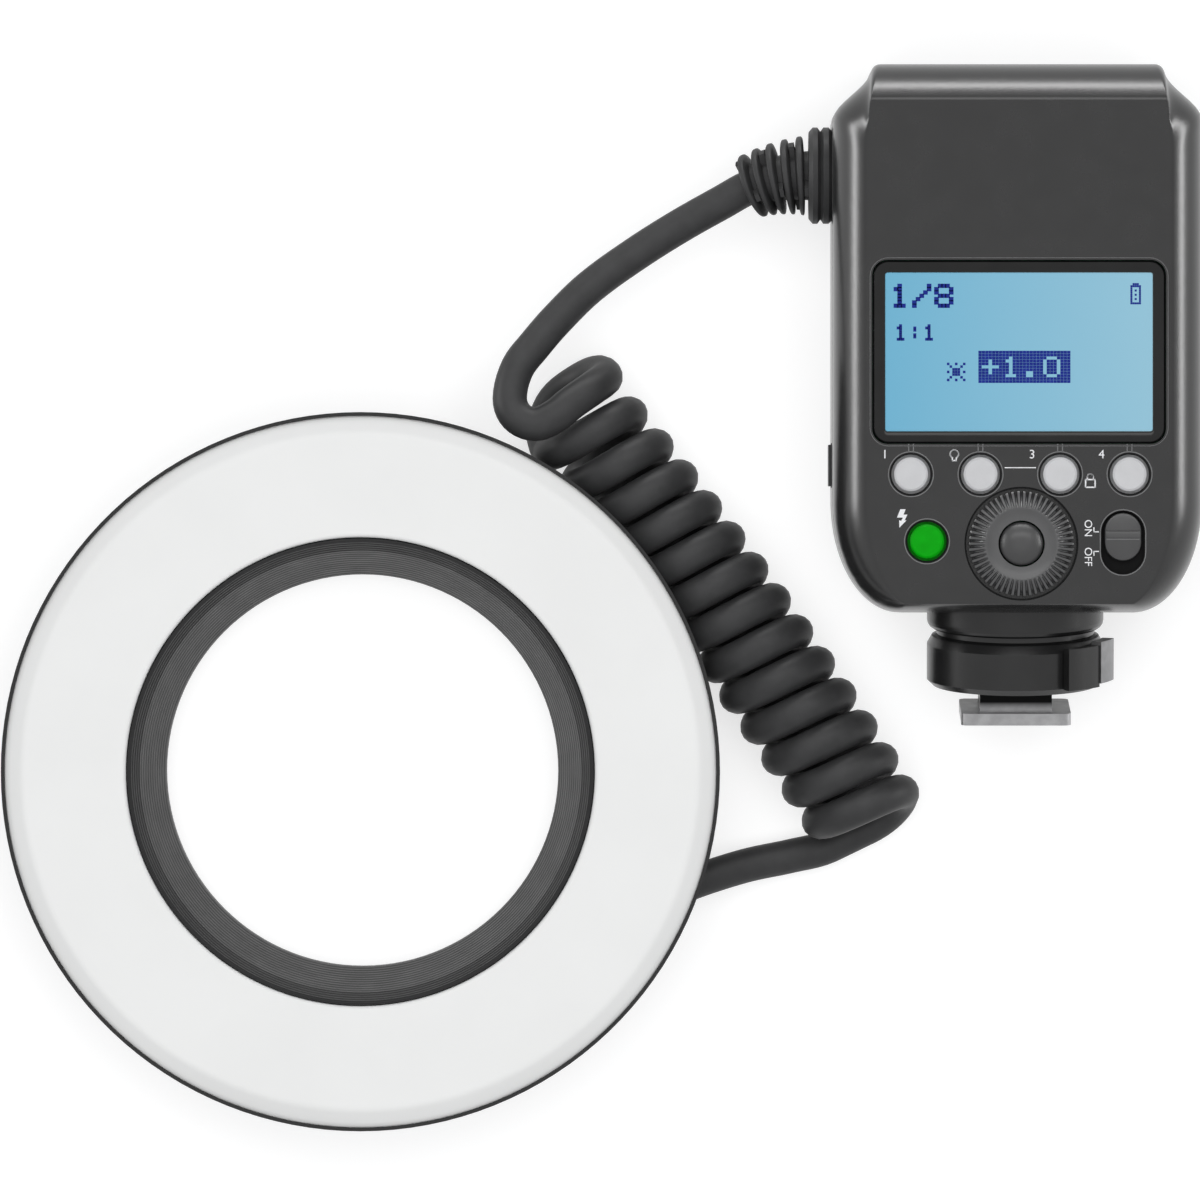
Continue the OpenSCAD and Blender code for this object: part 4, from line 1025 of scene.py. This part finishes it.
def stroke(points, width):
    """Flat line of even width through points."""
    parts = []
    for (ax, ay), (bx, by) in zip(points, points[1:]):
        dx, dy = bx - ax, by - ay
        n = math.hypot(dx, dy)
        ox, oy = -dy / n * width / 2, dx / n * width / 2
        ex, ey = dx / n * width / 4, dy / n * width / 4
        corners = [(ax - ex + ox, ay - ey + oy, PRINT_Z), (ax - ex - ox, ay - ey - oy, PRINT_Z),
                   (bx + ex - ox, by + ey - oy, PRINT_Z), (bx + ex + ox, by + ey + oy, PRINT_Z)]
        parts.append((corners, [(0, 1, 2, 3)]))
    return parts


def arc(centre, radius, start, end, steps=20):
    angles = [math.radians(start + (end - start) * i / steps) for i in range(steps + 1)]
    return [(centre[0] + radius * math.cos(q), centre[1] + radius * math.sin(q)) for q in angles]


def lettering(text, centre, height, turn):
    """Flat outline text as mesh parts, centred and turned by an angle in degrees."""
    data = bpy.data.curves.new("lettering", "FONT")
    data.body = text
    data.align_x = "CENTER"
    data.align_y = "CENTER"
    data.size = height * TEXT_SCALE
    holder = bpy.data.objects.new("lettering", data)
    bpy.context.scene.collection.objects.link(holder)
    bpy.context.view_layer.update()
    mesh = bpy.data.meshes.new_from_object(holder.evaluated_get(bpy.context.evaluated_depsgraph_get()))
    spin = Matrix.Rotation(math.radians(turn), 4, "Z")
    verts = [spin @ v.co for v in mesh.vertices]
    faces = [tuple(p.vertices) for p in mesh.polygons]
    bpy.data.objects.remove(holder)
    return [([(centre[0] + v.x, centre[1] + v.y, PRINT_Z) for v in verts], faces)]


def lamp_sign(x, y):
    base = [(x - 0.35, y - 0.6), (x - 0.3, y - 1.1), (x + 0.3, y - 1.1), (x + 0.35, y - 0.6)]
    return stroke(arc((x, y), 0.7, -55, 235), LINE_W) + stroke(base, LINE_W)


def lock_sign(x, y):
    case = [(x - 0.8, y - 0.7), (x + 0.8, y - 0.7), (x + 0.8, y + 0.6), (x - 0.8, y + 0.6),
            (x - 0.8, y - 0.7)]
    shackle = [(x - 0.5, y + 0.6)] + arc((x, y + 1.0), 0.5, 180, 0, steps=10) + [(x + 0.5, y + 0.6)]
    return stroke(case, LINE_W) + stroke(shackle, LINE_W)


def bolt_sign(x, y):
    return [([(x + a, y + b, PRINT_Z) for a, b in BOLT], [tuple(range(len(BOLT)))])]


def tick_sign(x, y, turn):
    return stroke([(x - 0.3, y + turn * 0.7), (x - 0.3, y), (x + 0.5, y)], TICK_W)


def printed_marks():
    parts = []
    for number, x in NUMBERS:
        parts += lettering(number, on_face(x, NUMBERS_Y), NUMBER_H, 0)
    parts += lamp_sign(*on_face(-10.9, 26.7))
    x, y = on_face(0.2, 24.4)
    parts += stroke([(x - 2.6, y), (x + 2.6, y)], THIN_LINE_W)
    parts += lock_sign(*on_face(12.0, 21.8))
    parts += bolt_sign(*on_face(-19.8, 15.9))
    parts += lettering("ON", on_face(11.6, 14.2), WORD_H, -90)
    parts += lettering("OFF", on_face(11.6, 9.4), WORD_H, -90)
    parts += tick_sign(*on_face(12.9, 13.6), 1)
    parts += tick_sign(*on_face(12.9, 10.3), -1)
    return parts


dress(joined("printed_marks", printed_marks()), PRINT, "control_unit", "key_plastic")

# Strain relief at the unit: rounded ribs on a core, joined by webs that change sides from gap to gap
BOOT_RIBS = 5
BOOT_CORE = (4.2, 3.4)
BOOT_RIB = (6.9, 5.5)
BOOT_STEPS = 110
BOOT_SIDES = 48
BOOT_RUN = BOOT_RIBS + 0.02
RIB_FIRST = 0.62
RIB_LIMITS = (-0.4, BOOT_RIBS - 0.5)
RIB_SHARE = 0.3
RIB_FULLNESS = 4
WEB_RISE = 0.8
WEB_EDGE = 0.93


def boot_radius(i, q):
    """Radius at step i and angle q; whole numbers of step are the middles of the ribs."""
    share = i / BOOT_STEPS
    core = BOOT_CORE[0] + (BOOT_CORE[1] - BOOT_CORE[0]) * share
    rib = BOOT_RIB[0] + (BOOT_RIB[1] - BOOT_RIB[0]) * share
    step = share * BOOT_RUN - RIB_FIRST
    offset = abs(step - round(step))
    if RIB_LIMITS[0] < step < RIB_LIMITS[1] and offset < RIB_SHARE:
        bulge = math.sqrt(max(0.0, 1 - (offset / RIB_SHARE) ** RIB_FULLNESS))
        return core + (rib - core) * bulge
    gap = math.floor(step) % 2
    web = math.cos(2 * (q - math.pi / 4 - gap * math.pi / 2))
    return core + (rib - core) * WEB_RISE if web > WEB_EDGE else core


boot_line = [boot_point(BOOT_BEND * i / BOOT_STEPS) for i in range(BOOT_STEPS + 1)]
boot_mesh = swept(boot_line, tube_frames(boot_line), boot_radius, BOOT_SIDES)
dress(new_object("boot_ribs", *boot_mesh, smooth_angle=40), RUBBER, "control_unit", "rubber", "cord_boot")

# Ring head's diffuser: a flat face whose outer edge bends down to the rim
RING_TOP = 26.5
DIFFUSER_IN = 39.75
DIFFUSER_OUT = 60.35
BEND_FROM = 56.4
BEND_RUN = 1.7
BEND_SLOPE = 27.0
EDGE_FROM = 59.2
EDGE_RUN = 1.2
EDGE_SLOPE = 18.0
BEND_STEPS = 24
SKIRT_Z = 22.6
UNDER_Z = 24.6
INNER_SKIRT = (1.6, 1.7)
OUTER_SKIRT = (1.6, 2.6)
LIP_W = 0.8
LIP_H = 0.7
LIP_STEPS = 8


def bent_edge():
    """Points from the flat face out to the rim; the slope grows twice, softly, on the way."""
    points = [(BEND_FROM, RING_TOP)]
    step = (DIFFUSER_OUT - BEND_FROM) / BEND_STEPS
    for _ in range(BEND_STEPS):
        r, z = points[-1]
        slope = BEND_SLOPE * ease((r - BEND_FROM) / BEND_RUN) + EDGE_SLOPE * ease((r - EDGE_FROM) / EDGE_RUN)
        points.append((r + step, z - step * math.tan(math.radians(slope))))
    return points


def diffuser_profile():
    points = [(DIFFUSER_IN + INNER_SKIRT[0], SKIRT_Z), (DIFFUSER_IN + INNER_SKIRT[1], UNDER_Z),
              (DIFFUSER_OUT - OUTER_SKIRT[1], UNDER_Z), (DIFFUSER_OUT - OUTER_SKIRT[0], SKIRT_Z),
              (DIFFUSER_OUT, SKIRT_Z)]
    points += reversed(bent_edge())
    for i in range(LIP_STEPS + 1):
        q = math.pi / 2 * i / LIP_STEPS
        points.append((DIFFUSER_IN + LIP_W * (1 - math.sin(q)), RING_TOP - LIP_H * (1 - math.cos(q))))
    return points + [(DIFFUSER_IN, SKIRT_Z)]


diffuser = new_object("diffuser_cover", *lathe(diffuser_profile(), (0, 0), steps=192), smooth_angle=40)
dress(diffuser, MILK, "ring_head", "diffuser_plastic", "ring_diffuser")

# Floor, background and lights; the floor's size and the lamps are in metres
FLOOR_SIZE = 6.0
FLOOR_Z = -0.2
FLOOR_GLOW = 0.7
WORLD_LIGHT = 0.15


def make_floor():
    half = FLOOR_SIZE / 2 / MM
    corners = [(-half, -half, FLOOR_Z), (half, -half, FLOOR_Z), (half, half, FLOOR_Z), (-half, half, FLOOR_Z)]
    floor = new_object("floor", corners, [(0, 1, 2, 3)])
    wear(floor, floor_material())


def seen_rays(nodes, links):
    """1 for camera, glossy and transmission rays, 0 for the rays that light the object."""
    path = nodes.new("ShaderNodeLightPath")
    mirror = nodes.new("ShaderNodeMath")
    mirror.operation = "MAXIMUM"
    links.new(path.outputs["Is Glossy Ray"], mirror.inputs[0])
    links.new(path.outputs["Is Transmission Ray"], mirror.inputs[1])
    seen = nodes.new("ShaderNodeMath")
    seen.operation = "MAXIMUM"
    links.new(path.outputs["Is Camera Ray"], seen.inputs[0])
    links.new(mirror.outputs["Value"], seen.inputs[1])
    return seen.outputs["Value"]


def floor_material():
    """Pale and matt; a part of its white is its own where it is seen, so a soft shadow stays."""
    mat = surface("pale_floor", (0.42, 0.42, 0.42), (0.44, 0.44, 0.44), 0.9, patch=3.0, bump=0.0, sheen=0.0)
    nodes = mat.node_tree.nodes
    links = mat.node_tree.links
    shader = nodes["Principled BSDF"]
    shader.inputs["Emission Color"].default_value = (1.0, 1.0, 1.0, 1.0)
    glow = nodes.new("ShaderNodeMath")
    glow.operation = "MULTIPLY"
    glow.inputs[1].default_value = FLOOR_GLOW
    links.new(seen_rays(nodes, links), glow.inputs[0])
    links.new(glow.outputs["Value"], shader.inputs["Emission Strength"])
    return mat


def make_world():
    world = bpy.data.worlds.new("world")
    bpy.context.scene.world = world
    world.use_nodes = True
    nodes = world.node_tree.nodes
    links = world.node_tree.links
    nodes.clear()
    dim = nodes.new("ShaderNodeBackground")
    dim.inputs["Color"].default_value = (0.9, 0.95, 1.0, 1.0)
    dim.inputs["Strength"].default_value = WORLD_LIGHT
    white = nodes.new("ShaderNodeBackground")
    white.inputs["Color"].default_value = (1.0, 1.0, 1.0, 1.0)
    white.inputs["Strength"].default_value = 1.0
    mixer = nodes.new("ShaderNodeMixShader")
    links.new(seen_rays(nodes, links), mixer.inputs["Fac"])
    links.new(dim.outputs["Background"], mixer.inputs[1])
    links.new(white.outputs["Background"], mixer.inputs[2])
    out = nodes.new("ShaderNodeOutputWorld")
    links.new(mixer.outputs["Shader"], out.inputs["Surface"])


def area_light(name, place, aim, width, height, power, mirrored):
    """Lamp that either lights surfaces evenly or only shows as a reflection in gloss."""
    data = bpy.data.lights.new(name, "AREA")
    data.shape = "RECTANGLE"
    data.size = width
    data.size_y = height
    data.energy = power
    lamp = bpy.data.objects.new(name, data)
    lamp.location = place
    lamp.rotation_euler = (Vector(aim) - Vector(place)).to_track_quat("-Z", "Y").to_euler()
    lamp.visible_glossy = mirrored
    lamp.visible_diffuse = not mirrored
    bpy.context.scene.collection.objects.link(lamp)


make_floor()
make_world()
area_light("overhead", (0.05, 0.1, 1.4), (0.05, 0.05, 0.0), 1.6, 1.6, 23.0, mirrored=False)
area_light("left_strip", (-0.75, 0.26, 0.1), (0.05, 0.26, 0.1), 0.5, 0.13, 3.3, mirrored=True)
area_light("right_strip", (0.95, 0.26, 0.1), (0.1, 0.26, 0.1), 0.5, 0.13, 3.3, mirrored=True)
area_light("top_strip", (0.1, 0.95, 0.1), (0.1, 0.1, 0.1), 1.0, 0.13, 6.8, mirrored=True)
area_light("upper_strip", (0.11, 0.61, 0.845), (0.11, 0.02, 0.035), 1.6, 0.3, 3.6, mirrored=True)

bpy.context.scene.view_settings.view_transform = "Standard"
